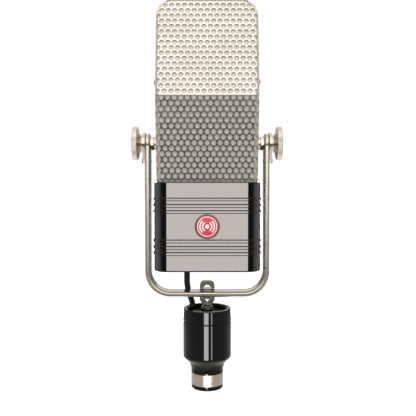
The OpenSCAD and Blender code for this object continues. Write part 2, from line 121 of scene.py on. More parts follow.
class Mat:
    """A Principled material with helpers that add procedural detail."""

    def __init__(self, name, color, metallic=0.0, rough=0.4, **extra):
        self.m = bpy.data.materials.new(name)
        self.m.use_nodes = True
        self.t = self.m.node_tree
        self.b = self.t.nodes["Principled BSDF"]
        self.b.inputs["Base Color"].default_value = (*color, 1)
        self.b.inputs["Metallic"].default_value = metallic
        self.b.inputs["Roughness"].default_value = rough
        for k, v in extra.items():
            self.b.inputs[k.replace("_", " ")].default_value = v
        self.m.diffuse_color = (*color, 1)
        self.coord = None
        self.height = None

    def node(self, kind, **props):
        n = self.t.nodes.new(kind)
        for k, v in props.items():
            setattr(n, k, v)
        return n

    def link(self, a, b):
        self.t.links.new(a, b)

    def at(self, scale=(1, 1, 1), turn=(0, 0, 0)):
        """Object coordinates in metres, times scale."""
        if self.coord is None:
            self.coord = self.node("ShaderNodeTexCoord")
        mp = self.node("ShaderNodeMapping")
        mp.inputs["Scale"].default_value = scale
        mp.inputs["Rotation"].default_value = turn
        self.link(self.coord.outputs["Object"], mp.inputs["Vector"])
        return mp.outputs["Vector"]

    def noise(self, scale, detail=3, stretch=(1, 1, 1), rough=0.55):
        n = self.node("ShaderNodeTexNoise")
        n.inputs["Scale"].default_value = scale
        n.inputs["Detail"].default_value = detail
        n.inputs["Roughness"].default_value = rough
        self.link(self.at(stretch), n.inputs["Vector"])
        return n.outputs["Fac"]

    def remap(self, value, a, b, lo=0.3, hi=0.7):
        r = self.node("ShaderNodeMapRange")
        r.inputs["From Min"].default_value = lo
        r.inputs["From Max"].default_value = hi
        r.inputs["To Min"].default_value = a
        r.inputs["To Max"].default_value = b
        self.link(value, r.inputs["Value"])
        return r.outputs["Result"]

    def math(self, op, a, b=None):
        n = self.node("ShaderNodeMath", operation=op)
        for i, v in enumerate((a, b)):
            if v is None:
                continue
            if isinstance(v, (int, float)):
                n.inputs[i].default_value = v
            else:
                self.link(v, n.inputs[i])
        return n.outputs[0]

    def rough(self, value, a, b, lo=0.3, hi=0.7):
        self.link(self.remap(value, a, b, lo, hi), self.b.inputs["Roughness"])
        return self

    def tint(self, value, c1, c2, lo=0.3, hi=0.7):
        r = self.node("ShaderNodeValToRGB")
        r.color_ramp.elements[0].position = lo
        r.color_ramp.elements[0].color = (*c1, 1)
        r.color_ramp.elements[1].position = hi
        r.color_ramp.elements[1].color = (*c2, 1)
        self.link(value, r.inputs["Fac"])
        self.link(r.outputs["Color"], self.b.inputs["Base Color"])
        return self

    def bump(self, value, strength, distance):
        n = self.node("ShaderNodeBump")
        n.inputs["Strength"].default_value = strength
        n.inputs["Distance"].default_value = distance
        self.link(value, n.inputs["Height"])
        if self.height is not None:
            self.link(self.height, n.inputs["Normal"])
        self.height = n.outputs["Normal"]
        self.link(self.height, self.b.inputs["Normal"])
        return self

    def wave(self, scale, direction="X", distortion=0.0, profile="SIN", turn=(0, 0, 0)):
        n = self.node("ShaderNodeTexWave", wave_type="BANDS", bands_direction=direction, wave_profile=profile)
        n.inputs["Scale"].default_value = scale
        n.inputs["Distortion"].default_value = distortion
        self.link(self.at(turn=turn), n.inputs["Vector"])
        return n.outputs["Fac"]


NICKEL = (0.73, 0.665, 0.585)
NICKEL_DK = (0.66, 0.595, 0.515)

M = {}
m = Mat("polished_nickel", NICKEL, 1.0, 0.12)
m.tint(m.noise(90, 4), NICKEL_DK, (0.76, 0.70, 0.625)).rough(m.noise(160, 4), 0.07, 0.17)
m.bump(m.noise(900, 3), 0.05, 0.0004)
M["polished_nickel"] = m.m

m = Mat("yoke_nickel", NICKEL, 1.0, 0.16)
m.tint(m.noise(60, 4), NICKEL_DK, (0.75, 0.69, 0.61)).rough(m.noise(110, 4), 0.10, 0.22)
m.bump(m.noise(700, 3), 0.06, 0.0004)
M["yoke_nickel"] = m.m

m = Mat("satin_nickel", (0.64, 0.59, 0.53), 1.0, 0.3)
m.tint(m.noise(70, 4), (0.57, 0.52, 0.46), (0.69, 0.64, 0.58)).rough(m.noise(40, 5, (1, 1, 30)), 0.22, 0.36)
m.bump(m.noise(60, 4, (1, 1, 40)), 0.12, 0.0003)
M["satin_nickel"] = m.m

m = Mat("screen_nickel", (0.82, 0.775, 0.71), 1.0, 0.2)
m.tint(m.noise(45, 5), (0.72, 0.67, 0.60), (0.83, 0.79, 0.73)).rough(m.noise(120, 4), 0.13, 0.26)
m.bump(m.noise(600, 3), 0.08, 0.0004)
M["screen_nickel"] = m.m

m = Mat("screen_mesh", (0.46, 0.44, 0.42), 0.35, 0.55)
wx, wz = m.wave(560, "X"), m.wave(560, "Z")
wires = m.math("MAXIMUM", wx, wz)
m.tint(wires, (0.14, 0.132, 0.128), (0.60, 0.575, 0.555), 0.25, 0.75)
m.rough(m.noise(200, 3), 0.42, 0.62)
m.bump(wires, 0.55, 0.0002)
M["screen_mesh"] = m.m

m = Mat("black_gloss_lacquer", (0.002, 0.002, 0.002), 0.0, 0.05, Specular_IOR_Level=0.25)
m.tint(m.noise(35, 4), (0.001, 0.001, 0.0011), (0.002, 0.0019, 0.002)).rough(m.noise(55, 5), 0.02, 0.06)
m.bump(m.noise(40, 2), 0.01, 0.0004)
M["black_gloss_lacquer"] = m.m

m = Mat("mount_lacquer", (0.002, 0.002, 0.002), 0.0, 0.06, Specular_IOR_Level=0.26)
m.tint(m.noise(45, 4), (0.001, 0.001, 0.0011), (0.002, 0.0019, 0.002)).rough(m.noise(70, 5), 0.03, 0.07)
m.bump(m.noise(50, 2), 0.01, 0.0004)
M["mount_lacquer"] = m.m

# This material is polished nickel with its colour darkened to about half. That darkening is painted shade, standing in
# for the dark reflections on the eye nut, eye stud and crown nut. The noise varies the tone at random.
m = Mat("shaded_fitting_nickel", (0.36, 0.33, 0.30), 1.0, 0.1)
m.tint(m.noise(110, 4), (0.32, 0.294, 0.265), (0.60, 0.56, 0.51)).rough(m.noise(160, 4), 0.03, 0.09)
m.bump(m.noise(700, 3), 0.06, 0.0004)
M["shaded_fitting_nickel"] = m.m

m = Mat("black_matte", (0.03, 0.03, 0.031), 0.0, 0.6)
m.tint(m.noise(80, 4), (0.022, 0.022, 0.023), (0.045, 0.044, 0.044)).rough(m.noise(200, 4), 0.5, 0.72)
m.bump(m.noise(1800, 3), 0.35, 0.0004)
M["black_matte"] = m.m

m = Mat("black_rubber", (0.02, 0.02, 0.02), 0.0, 0.7)
m.tint(m.noise(60, 5), (0.012, 0.012, 0.012), (0.034, 0.033, 0.032)).rough(m.noise(90, 4), 0.5, 0.8)
m.bump(m.noise(1400, 3), 0.25, 0.0004)
M["black_rubber"] = m.m

m = Mat("lead_jacket", (0.018, 0.018, 0.018), 0.0, 0.6, Specular_IOR_Level=0.25)
m.tint(m.noise(70, 5), (0.012, 0.012, 0.012), (0.030, 0.029, 0.028)).rough(m.noise(120, 4), 0.52, 0.7)
m.bump(m.noise(1500, 3), 0.18, 0.0003)
M["lead_jacket"] = m.m

m = Mat("brass", (0.74, 0.52, 0.24), 1.0, 0.25)
m.tint(m.noise(80, 4), (0.62, 0.42, 0.18), (0.80, 0.60, 0.30)).rough(m.noise(150, 4), 0.16, 0.34)
m.bump(m.noise(900, 3), 0.08, 0.0003)
M["brass"] = m.m

m = Mat("magnet_steel", (0.10, 0.10, 0.105), 0.85, 0.55)
m.tint(m.noise(60, 6), (0.06, 0.06, 0.062), (0.16, 0.155, 0.15)).rough(m.noise(90, 5), 0.42, 0.7)
m.bump(m.noise(700, 5), 0.4, 0.0006)
M["magnet_steel"] = m.m

m = Mat("pole_steel", (0.45, 0.45, 0.46), 1.0, 0.3)
m.tint(m.noise(60, 4), (0.38, 0.38, 0.39), (0.52, 0.51, 0.51)).rough(m.noise(60, 4, (1, 1, 20)), 0.22, 0.4)
m.bump(m.noise(80, 4, (1, 1, 30)), 0.15, 0.0003)
M["pole_steel"] = m.m

m = Mat("ribbon_foil", (0.86, 0.86, 0.88), 1.0, 0.18)
m.tint(m.noise(200, 4), (0.80, 0.80, 0.82), (0.90, 0.90, 0.91)).rough(m.noise(300, 4), 0.1, 0.26)
m.bump(m.noise(1500, 3), 0.15, 0.0002)
M["ribbon_foil"] = m.m

m = Mat("fibre_board", (0.20, 0.10, 0.045), 0.0, 0.55)
m.tint(m.noise(60, 5, (1, 1, 14)), (0.13, 0.06, 0.028), (0.27, 0.145, 0.07)).rough(m.noise(150, 4), 0.42, 0.65)
m.bump(m.noise(300, 4, (1, 1, 20)), 0.25, 0.0003)
M["fibre_board"] = m.m

m = Mat("core_steel", (0.30, 0.29, 0.28), 0.9, 0.45)
m.tint(m.wave(320, "Y", 0.3), (0.17, 0.165, 0.16), (0.36, 0.35, 0.34)).rough(m.noise(120, 4), 0.35, 0.55)
m.bump(m.wave(320, "Y", 0.3), 0.5, 0.0004)
M["core_steel"] = m.m

m = Mat("coil_wire", (0.55, 0.22, 0.09), 0.9, 0.35)
m.tint(m.wave(700, "Z", 0.2), (0.30, 0.11, 0.045), (0.66, 0.29, 0.12)).rough(m.noise(150, 3), 0.25, 0.45)
m.bump(m.wave(700, "Z", 0.2), 0.6, 0.0003)
M["coil_wire"] = m.m

m = Mat("badge_enamel", (0.56, 0.030, 0.062), 0.0, 0.16, Coat_Weight=0.6, Coat_Roughness=0.04)
m.tint(m.noise(260, 4), (0.50, 0.026, 0.052), (0.62, 0.036, 0.075)).rough(m.noise(140, 3), 0.12, 0.22)
m.bump(m.noise(500, 2), 0.05, 0.0003)
M["badge_enamel"] = m.m

m = Mat("badge_white", (0.80, 0.77, 0.74), 0.0, 0.2, Coat_Weight=0.5, Coat_Roughness=0.05)
m.tint(m.noise(300, 3), (0.74, 0.71, 0.68), (0.86, 0.83, 0.81)).rough(m.noise(180, 3), 0.15, 0.28)
m.bump(m.noise(700, 2), 0.05, 0.0003)
M["badge_white"] = m.m

m = Mat("badge_rim", (0.20, 0.19, 0.185), 1.0, 0.22)
m.tint(m.noise(150, 4), (0.14, 0.135, 0.13), (0.26, 0.245, 0.235)).rough(m.noise(200, 4), 0.14, 0.3)
m.bump(m.noise(900, 2), 0.06, 0.0003)
M["badge_rim"] = m.m


# ---------------------------------------------------------------- builders


def make(name, verts, faces, smooth=35):
    """A mesh object from points in millimetres."""
    me = bpy.data.meshes.new(name)
    me.from_pydata([(0.001 * x, 0.001 * y, 0.001 * z) for x, y, z in verts], [], faces)
    me.validate()
    me.update()
    o = bpy.data.objects.new(name, me)
    scene.collection.objects.link(o)
    outward(o)
    if smooth:
        soften(o, smooth)
    return o


def outward(o):
    """Turns the faces of a closed mesh outwards."""
    import bmesh

    b = bmesh.new()
    b.from_mesh(o.data)
    bmesh.ops.recalc_face_normals(b, faces=b.faces)
    if b.calc_volume(signed=True) < 0:
        bmesh.ops.reverse_faces(b, faces=b.faces)
    b.to_mesh(o.data)
    b.free()


def soften(o, angle=35):
    o.data.shade_smooth()
    o.data.set_sharp_from_angle(angle=math.radians(angle))


def firm(o):
    """Flat faces keep flat shading next to rounded edges."""
    mod = o.modifiers.new("firm", "WEIGHTED_NORMAL")
    mod.mode = "FACE_AREA"
    mod.weight = 80
    mod.keep_sharp = True
    bake(o)


def bevel(o, width, segments=3, angle=35):
    mod = o.modifiers.new("edge", "BEVEL")
    mod.width = 0.001 * width
    mod.segments = segments
    mod.limit_method = "ANGLE"
    mod.angle_limit = math.radians(angle)
    mod.harden_normals = False
    bake(o)
    soften(o, 35)
    return o


def bake(o):
    """Makes the modifiers' result the mesh."""
    bpy.context.view_layer.update()
    deps = bpy.context.evaluated_depsgraph_get()
    me = bpy.data.meshes.new_from_object(o.evaluated_get(deps))
    o.modifiers.clear()
    o.data = me


def combine(o, other, op="DIFFERENCE", solver="MANIFOLD", keep=False):
    mod = o.modifiers.new("shape", "BOOLEAN")
    mod.operation = op
    mod.object = other
    mod.solver = solver
    bake(o)
    if not keep:
        bpy.data.objects.remove(other)
    return o


def finish_piece(o, body, material, *nodes, slot=None):
    """Dresses a piece, rides it on its body and puts it in the CAD nodes' place."""
    firm(o)
    o.data.materials.clear()
    o.data.materials.append(M[material])
    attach(o, body)
    if nodes:
        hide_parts(*nodes)
    return o


def rounded(pts, radii, n=5, closed=True):
    """Corners of a 2-D outline turned into arcs."""
    out = []
    k = len(pts)
    for i in range(k):
        b = Vector(pts[i])
        r = radii[i] if isinstance(radii, (list, tuple)) else radii
        if r <= 0 or (not closed and i in (0, k - 1)):
            out.append((b.x, b.y))
            continue
        a, c = Vector(pts[i - 1]), Vector(pts[(i + 1) % k])
        u, v = (a - b), (c - b)
        la, lc = u.length, v.length
        u.normalize()
        v.normalize()
        cosv = max(-1, min(1, u.dot(v)))
        half = math.acos(cosv) / 2
        if half > pi / 2 - 0.02:
            out.append((b.x, b.y))
            continue
        d = min(r / math.tan(half), 0.49 * la, 0.49 * lc)
        r = d * math.tan(half)
        mid = b + (u + v).normalized() * (r / math.sin(half))
        s, e = b + u * d - mid, b + v * d - mid
        q = pi - 2 * half
        for j in range(n + 1):
            w = j / n
            p = mid + (s * math.sin(q * (1 - w)) + e * math.sin(q * w)) / math.sin(q)
            out.append((p.x, p.y))
    return out


def turned(name, profile, seg=96, axis="Z", at=(0, 0, 0), flip=False, closed=True, wobble=None, smooth=35):
    """A turned part: profile is a closed loop of (radius, height), turned about axis."""
    verts, rows = [], []
    for r, h in profile:
        if r < 1e-6:
            rows.append([len(verts)])
            verts.append((0, 0, h))
        else:
            rows.append(list(range(len(verts), len(verts) + seg)))
            for k in range(seg):
                a = 2 * pi * k / seg
                rr = r + (wobble(r, h, a) if wobble else 0)
                verts.append((rr * math.cos(a), rr * math.sin(a), h))
    faces = []
    pairs = list(zip(rows, rows[1:])) + ([(rows[-1], rows[0])] if closed else [])
    for p, q in pairs:
        if len(p) == 1 and len(q) == 1:
            continue
        for k in range(seg):
            k2 = (k + 1) % seg
            if len(p) == 1:
                faces.append((p[0], q[k], q[k2]))
            elif len(q) == 1:
                faces.append((p[k], p[k2], q[0]))
            else:
                faces.append((p[k], p[k2], q[k2], q[k]))
    verts = [place(v, axis, at, flip) for v in verts]
    return make(name, verts, faces, smooth)


def place(v, axis, at, flip=False):
    x, y, z = v
    if axis == "X":
        x, y, z = z, y, x
        if flip:
            x = -x
    elif axis == "Y":
        x, y, z = x, z, y
        if flip:
            y = -y
    elif flip:
        z = -z
    return x + at[0], y + at[1], z + at[2]


def prism(name, outline, h0, h1, axis="X", smooth=35):
    """An outline pulled along an axis: on X the outline is (y, z), on Y it is (x, z), on Z it is (x, y)."""
    n = len(outline)
    verts = []
    for h in (h0, h1):
        for a, b in outline:
            verts.append({"X": (h, a, b), "Y": (a, h, b), "Z": (a, b, h)}[axis])
    faces = [tuple(range(n)), tuple(range(2 * n - 1, n - 1, -1))]
    faces += [(k, (k + 1) % n, n + (k + 1) % n, n + k) for k in range(n)]
    return make(name, verts, faces, smooth)


def loft(name, loops, smooth=35, caps=True):
    """Closed loops of the same number of points, joined in order."""
    n = len(loops[0])
    verts = [p for lp in loops for p in lp]
    faces = []
    for i in range(len(loops) - 1):
        for k in range(n):
            k2 = (k + 1) % n
            faces.append((i * n + k, i * n + k2, (i + 1) * n + k2, (i + 1) * n + k))
    if caps:
        faces.append(tuple(range(n - 1, -1, -1)))
        last = (len(loops) - 1) * n
        faces.append(tuple(range(last, last + n)))
    else:
        last = (len(loops) - 1) * n
        for k in range(n):
            k2 = (k + 1) % n
            faces.append((last + k, last + k2, k2, k))
    return make(name, verts, faces, smooth)


def join(objs, name):
    """Several objects as one piece."""
    verts, faces = [], []
    for o in objs:
        base = len(verts)
        verts += [tuple(1000 * c for c in v.co) for v in o.data.vertices]
        faces += [tuple(base + i for i in p.vertices) for p in o.data.polygons]
        bpy.data.objects.remove(o)
    return make(name, verts, faces)


def both(build, left, right):
    """A part made on the right, and its mirror on the left: returns (left, right)."""
    r = build(right)
    me = r.data.copy()
    me.transform(Matrix.Scale(-1, 4, (1, 0, 0)))
    l = bpy.data.objects.new(left, me)
    scene.collection.objects.link(l)
    outward(l)
    soften(l)
    return l, r


def spline(points, steps=8):
    """A smooth curve through the points."""
    p = [Vector(q) for q in points]
    p = [2 * p[0] - p[1]] + p + [2 * p[-1] - p[-2]]
    out = []
    for i in range(1, len(p) - 2):
        for s in range(steps):
            t = s / steps
            a, b, c, d = p[i - 1], p[i], p[i + 1], p[i + 2]
            out.append(0.5 * ((2 * b) + (c - a) * t + (2 * a - 5 * b + 4 * c - d) * t * t + (3 * b - a - 3 * c + d) * t ** 3))
    out.append(p[-2])
    return out


# ---------------------------------------------------------------- lead, made first

path = spline(LEAD, 6)


def tube(name, pts, radius, seg=24):
    loops = []
    side = Vector((1, 0, 0))
    for i, p in enumerate(pts):
        t = (pts[min(i + 1, len(pts) - 1)] - pts[max(i - 1, 0)]).normalized()
        side = (side - t * side.dot(t)).normalized()
        up = t.cross(side)
        loops.append([tuple(p + radius * (side * math.cos(2 * pi * k / seg) + up * math.sin(2 * pi * k / seg))) for k in range(seg)])
    return loft(name, loops)


cable = tube("lead", path, 3.5)
cable.data.materials.append(M["lead_jacket"])
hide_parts("cable")


# ---------------------------------------------------------------- perforated screen

SL_LO = (Y_FOLD - FOOT_Y) / (Z_FOLD - Z_SCREEN)
SL_UP = (Y_FOLD - TOP_Y) / (Z_TOP - Z_FOLD)
A_LO, A_UP = math.atan(SL_LO), math.atan(SL_UP)


def depth(z, g=0.0):
    """Half depth of the screen at height z, g inside its face."""
    d = z - Z_FOLD
    f = Y_FOLD - (SL_UP * d if d > 0 else -SL_LO * d)
    k = 1.3
    if abs(d) < k:
        f -= (k - abs(d)) ** 2 / (4 * k) * (SL_LO + SL_UP)
    return f - g


def screen_sheet(g, foot):
    """Points and faces of one face of the sheet, g inside the outer face, front half."""
    w, r, rb, top = X_SCR - g, CORNER_R - g, max(BEND_R - g, 0.4), Z_TOP - g
    stations = []
    zs = [foot, 250, 270, 290, 310, Z_FOLD - 1.3, Z_FOLD - 0.65, Z_FOLD, Z_FOLD + 0.65, Z_FOLD + 1.3, 350, 375, 400, top - r]
    for z in zs:
        stations.append(((w - rb, z), (1, 0)))
    steps = 14
    for k in range(1, steps + 1):
        a = pi / 2 * k / steps
        n = (math.cos(a), math.sin(a))
        stations.append(((w - r + (r - rb) * n[0], top - r + (r - rb) * n[1]), n))
    full = [((-p[0], p[1]), (-n[0], n[1])) for p, n in stations] + list(reversed(stations))
    ring = 9
    verts = []
    for (x, z), n in full:
        for j in range(ring + 1):
            th = pi / 2 * j / ring
            x2, z2 = x + n[0] * rb * math.sin(th), z + n[1] * rb * math.sin(th)
            verts.append((x2, -(depth(z2, g) - rb * (1 - math.cos(th))), z2))
        x2, z2 = x + n[0] * rb, z + n[1] * rb
        verts.append((x2, -0.05, z2))
    cols = ring + 2
    faces = []
    total = len(full)
    for i in range(total - 1):
        for j in range(cols - 1):
            faces.append((i * cols + j, (i + 1) * cols + j, (i + 1) * cols + j + 1, i * cols + j + 1))
    h = len(stations)
    for i in range(h - 1):
        faces.append((i * cols, (total - 1 - i) * cols, (total - 2 - i) * cols, (i + 1) * cols))
    return verts, faces


def screen_shell(name, g, t, foot):
    v1, f1 = screen_sheet(g, foot)
    v2, f2 = screen_sheet(g + t, foot)
    n = len(v1)
    faces = list(f1) + [tuple(n + i for i in reversed(f)) for f in f2]
    count = {}
    for f in f1:
        for a, b in zip(f, f[1:] + f[:1]):
            count.setdefault((min(a, b), max(a, b)), []).append((a, b))
    for e in count.values():
        if len(e) == 1:
            a, b = e[0]
            faces.append((b, a, n + a, n + b))
    return make(name, v1 + v2, faces, 30)


PITCH, HOLE_R = 7.165, 2.88
UP_ROWS = [3.53 + 6.14 * k for k in range(18)]
LO_ROWS = [-3.2 - 6.235 * k for k in range(16)]


def hole_spots():
    """(place, outward direction, kind) of every hole of the front half."""
    w, r, rb, top = X_SCR, CORNER_R, BEND_R, Z_TOP
    flat, quarter = w - rb, rb * pi / 2
    spots = []
    rows = [(s, i % 2 == 1) for i, s in enumerate(UP_ROWS)] + [(s, i % 2 == 0) for i, s in enumerate(LO_ROWS)]
    # row parity: the first row under the fold has a hole in the middle, and rows take turns from there
    rows = [(s, (i % 2 == 1)) for i, s in enumerate(UP_ROWS)] + [(s, (i % 2 == 0)) for i, s in enumerate(LO_ROWS)]
    for s, middle in rows:
        a = A_UP if s > 0 else -A_LO
        z = Z_FOLD + s * math.cos(a)
        face_n = Vector((0, -math.cos(a), math.sin(a)))
        for k in range(-14, 15):
            x = PITCH * (k if middle else k + 0.5)
            sx, ax = (1 if x > 0 else -1), abs(x)
            over_x, over_z = ax - flat, z - (top - rb)
            corner = ax > w - r and z > top - r
            if corner:
                c = Vector((w - r, top - r))
                d = Vector((ax, z)) - c
                if d.length <= r - rb + 0.01:
                    spots.append((Vector((x, -depth(z), z)), face_n, "face"))
                    continue
                over = d.length - (r - rb)
                th = over / rb
                if th > 1.25:
                    continue
                n2 = d.normalized()
                p2 = c + n2 * (r - rb + rb * math.sin(th))
                y = -(depth(p2.y) - rb * (1 - math.cos(th)))
                n = Vector((sx * n2.x * math.sin(th), -math.cos(th), n2.y * math.sin(th) + math.sin(a) * math.cos(th)))
                spots.append((Vector((sx * p2.x, y, p2.y)), n.normalized(), "bend"))
            elif over_x <= 0 and over_z <= 0:
                spots.append((Vector((x, -depth(z), z)), face_n, "face"))
            elif over_x > 0:
                if over_x < quarter:
                    th = over_x / rb
                    n = Vector((sx * math.sin(th), -math.cos(th) * math.cos(a), math.cos(th) * math.sin(a)))
                    spots.append((Vector((sx * (flat + rb * math.sin(th)), -(depth(z) - rb * (1 - math.cos(th))), z)), n.normalized(), "bend"))
                else:
                    y = -(depth(z) - rb - (over_x - quarter))
                    spots.append((Vector((sx * w, y, z)), Vector((sx, 0, 0)), "wall"))
            elif ax <= w - r:
                th = over_z / math.cos(a) / rb
                if th < pi / 2:
                    z2 = top - rb + rb * math.sin(th)
                    spots.append((Vector((x, -(depth(z2) - rb * (1 - math.cos(th))), z2)), Vector((0, -math.cos(th), math.sin(th))), "bend"))
    # top wall
    for i in range(1, 5):
        middle = i % 2 == 1
        t = -1.4 + 6.14 * i
        for k in range(-6, 7):
            x = PITCH * (k if middle else k + 0.5)
            if abs(x) <= w - r + 1:
                spots.append((Vector((x, -(depth(top) - rb - t), top)), Vector((0, 0, 1)), "wall"))
    # round the corners
    for i in range(0, 5):
        t = 0.9 + 6.14 * i
        for k in range(0, 6):
            ang = pi / 2 * (k + (0.5 if i % 2 == 0 else 0)) / 4.4
            if ang > pi / 2 - 0.1 or ang < 0.12:
                continue
            for sx in (-1, 1):
                z2 = top - r + r * math.sin(ang)
                p = Vector((sx * (w - r + r * math.cos(ang)), -(depth(z2) - rb - t), z2))
                spots.append((p, Vector((sx * math.cos(ang), 0, math.sin(ang))), "wall"))
    kept, grid = [], {}
    for p, n, kind in spots:
        if p.y > -3.7 or p.z < Z_SCREEN - 0.5:
            continue
        if kind == "wall" and abs(p.x) > w - 1:
            if math.hypot(p.y, p.z - Z_PIVOT) < 11.6 or math.hypot(p.y, p.z - Z_SIDE) < 8.2:
                continue
        key = (int(p.x // 8), int(p.y // 8), int(p.z // 8))
        near = [q for dx in (-1, 0, 1) for dy in (-1, 0, 1) for dz in (-1, 0, 1) for q in grid.get((key[0] + dx, key[1] + dy, key[2] + dz), [])]
        if any((q - p).length < 6.25 for q in near):
            continue
        grid.setdefault(key, []).append(p)
        kept.append((p, n, kind))
    return kept


def punch(spots, seg=20):
    """Cutters for a group of holes, each with a small flare at the outer face."""
    verts, faces = [], []
    for p, n, kind in spots:
        side = n.orthogonal().normalized()
        up = n.cross(side)
        rings = [(HOLE_R * (0.72 if kind == "bend" else 1), -2.6), (HOLE_R * (0.93 if kind == "bend" else 1), -0.32), (HOLE_R + 0.14, 0.02), (HOLE_R + 0.2, 1.3)]
        base = len(verts)
        for r, d in rings:
            for k in range(seg):
                a = 2 * pi * k / seg
                verts.append(tuple(p + n * d + r * (side * math.cos(a) + up * math.sin(a))))
        for j in range(len(rings) - 1):
            for k in range(seg):
                k2 = (k + 1) % seg
                faces.append((base + j * seg + k, base + j * seg + k2, base + (j + 1) * seg + k2, base + (j + 1) * seg + k))
        faces.append(tuple(base + k for k in range(seg - 1, -1, -1)))
        faces.append(tuple(base + (len(rings) - 1) * seg + k for k in range(seg)))
    return make("punch", verts, faces, 0)


screen = screen_shell("screen_front", 0, SHEET_T, Z_SCREEN)
spots = hole_spots()
for kind in ("face", "bend", "wall"):
    group = [s for s in spots if s[2] == kind]
    if kind == "wall":
        # the walls' cutters never meet one another, but those by a corner come close
        combine(screen, punch(group[0::2]))
        combine(screen, punch(group[1::2]))
    else:
        combine(screen, punch(group))
holes_for_parts = prism("x_holes", [(STUD_R * 1.05 * math.cos(2 * pi * k / 32), Z_PIVOT + STUD_R * 1.05 * math.sin(2 * pi * k / 32)) for k in range(32)], -80, 80)
combine(screen, holes_for_parts)
soften(screen, 38)
finish_piece(screen, "head", "screen_nickel", "windscreen_front")

rear = bpy.data.objects.new("screen_rear", screen.data.copy())
scene.collection.objects.link(rear)
rear.data.transform(Matrix.Rotation(pi, 4, "Z"))
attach(rear, "head")
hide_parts("windscreen_rear")

lining = screen_shell("lining_front", SHEET_T + 0.45, 0.35, Z_SCREEN)
finish_piece(lining, "head", "screen_mesh", "screen_cloth_front")
lining_rear = bpy.data.objects.new("lining_rear", lining.data.copy())
scene.collection.objects.link(lining_rear)
lining_rear.data.transform(Matrix.Rotation(pi, 4, "Z"))
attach(lining_rear, "head")
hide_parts("screen_cloth_rear")


# ---------------------------------------------------------------- case


def plan(w, d, r, z, n=14):
    pts = []
    for cx, cy, a0 in ((w / 2 - r, -d / 2 + r, -90), (w / 2 - r, d / 2 - r, 0), (-w / 2 + r, d / 2 - r, 90), (-w / 2 + r, -d / 2 + r, 180)):
        for k in range(n + 1):
            a = math.radians(a0 + 90 * k / n)
            pts.append((cx + r * math.cos(a), cy + r * math.sin(a), z))
    return pts


def case_profile():
    """(offset outside the plain wall, height), from the bottom up."""
    out = [(-CASE_T, Z_CASE), (-1.7, Z_CASE)]
    for k in range(1, 7):
        a = pi / 2 * k / 6
        out.append((-1.7 + 1.7 * math.sin(a), Z_CASE + 1.7 - 1.7 * math.cos(a)))
    for lo, hi in sorted(RIBS):
        f = rounded([(0, lo - 2), (0, lo - 0.25), (RIB_H, lo + 0.3), (RIB_H, hi - 0.5), (0, hi + 0.4), (0, hi + 2)], [0, 0.3, 0.3, 0.3, 0.3, 0], 4, closed=False)
        out += f[1:-1]
    top = Z_SCREEN
    for k in range(0, 5):
        a = pi / 2 * k / 4
        out.append((-0.9 + 0.9 * math.cos(a), top - 0.9 + 0.9 * math.sin(a)))
    return out


prof = case_profile()
loops = [plan(CASE_W + 2 * o, CASE_D + 2 * o, CASE_R + o, z) for o, z in prof]
# the opening under the screen, then the inner walls down to the open bottom
n_side = len(loops[0]) // 4
loops.append(plan(108, 38, 6, Z_SCREEN))
loops.append(plan(108, 38, 6, Z_SCREEN - CASE_T))
loops.append(plan(CASE_W - 2 * CASE_T, CASE_D - 2 * CASE_T, CASE_R - CASE_T, Z_SCREEN - CASE_T))
loops.append(plan(CASE_W - 2 * CASE_T, CASE_D - 2 * CASE_T, CASE_R - CASE_T, Z_CASE + 0.02))
case = loft("case_shell", loops, 40, caps=False)
finish_piece(case, "head", "black_gloss_lacquer", "base_shell")


# badge: rim, red enamel and a plain wave sign in white
y_face = -CASE_D / 2
rim = turned("badge_rim_ring", rounded([(BADGE_R, 0.0), (BADGE_R, 1.25), (BADGE_R + 1.5, 1.25), (BADGE_R + 1.5, 0.0)], [0, 0.35, 0.55, 0], 5), 96, "Y", (0, y_face, Z_BADGE), flip=True)
finish_piece(rim, "head", "badge_rim", "badge_bezel")
enamel = turned("badge_face", [(0, 0), (BADGE_R, 0), (BADGE_R, 0.62)] + [(BADGE_R * 0.98 * math.cos(pi / 2 * k / 8), 0.64 + 0.34 * math.sin(pi / 2 * k / 8)) for k in range(9)], 96, "Y", (0, y_face, Z_BADGE), flip=True)
finish_piece(enamel, "head", "badge_enamel", "badge_disc")


def arc_band(r0, r1, a0, a1, y0, y1, n=24):
    """A flat arc with round ends on the badge, in the XZ plane."""
    outline = []
    rm, hw = (r0 + r1) / 2, (r1 - r0) / 2
    for k in range(n + 1):
        a = a0 + (a1 - a0) * k / n
        outline.append((r1 * math.cos(a), r1 * math.sin(a)))
    for k in range(1, 6):
        b = pi * k / 6
        outline.append((rm * math.cos(a1) + hw * math.cos(a1 + b), rm * math.sin(a1) + hw * math.sin(a1 + b)))
    for k in range(n, -1, -1):
        a = a0 + (a1 - a0) * k / n
        outline.append((r0 * math.cos(a), r0 * math.sin(a)))
    for k in range(1, 6):
        b = pi + pi * k / 6
        outline.append((rm * math.cos(a0) + hw * math.cos(a0 + b), rm * math.sin(a0) + hw * math.sin(a0 + b)))
    o = prism("sign", [(x, z + Z_BADGE) for x, z in outline], y0, y1, "Y")
    return o


sign = [turned("dot", rounded([(0, 0.5), (2.3, 0.5), (2.3, 1.16), (0, 1.16)], [0, 0, 0.2, 0], 3), 48, "Y", (0, y_face, Z_BADGE), flip=True),
        turned("hoop", rounded([(10.3, 0.5), (10.3, 0.98), (11.2, 0.98), (11.2, 0.5)], [0, 0.15, 0.15, 0], 3), 96, "Y", (0, y_face, Z_BADGE), flip=True)]
for r0, r1, half, lift in ((4.4, 5.9, 0.95, 1.12), (7.3, 8.8, 0.80, 1.05)):
    for mid in (0, pi):
        sign.append(arc_band(r0, r1, mid - half, mid + half, y_face - 0.5, y_face - lift))
sign = join(sign, "badge_sign")
finish_piece(sign, "head", "badge_white", slot="badge_enamel")


# ---------------------------------------------------------------- yoke

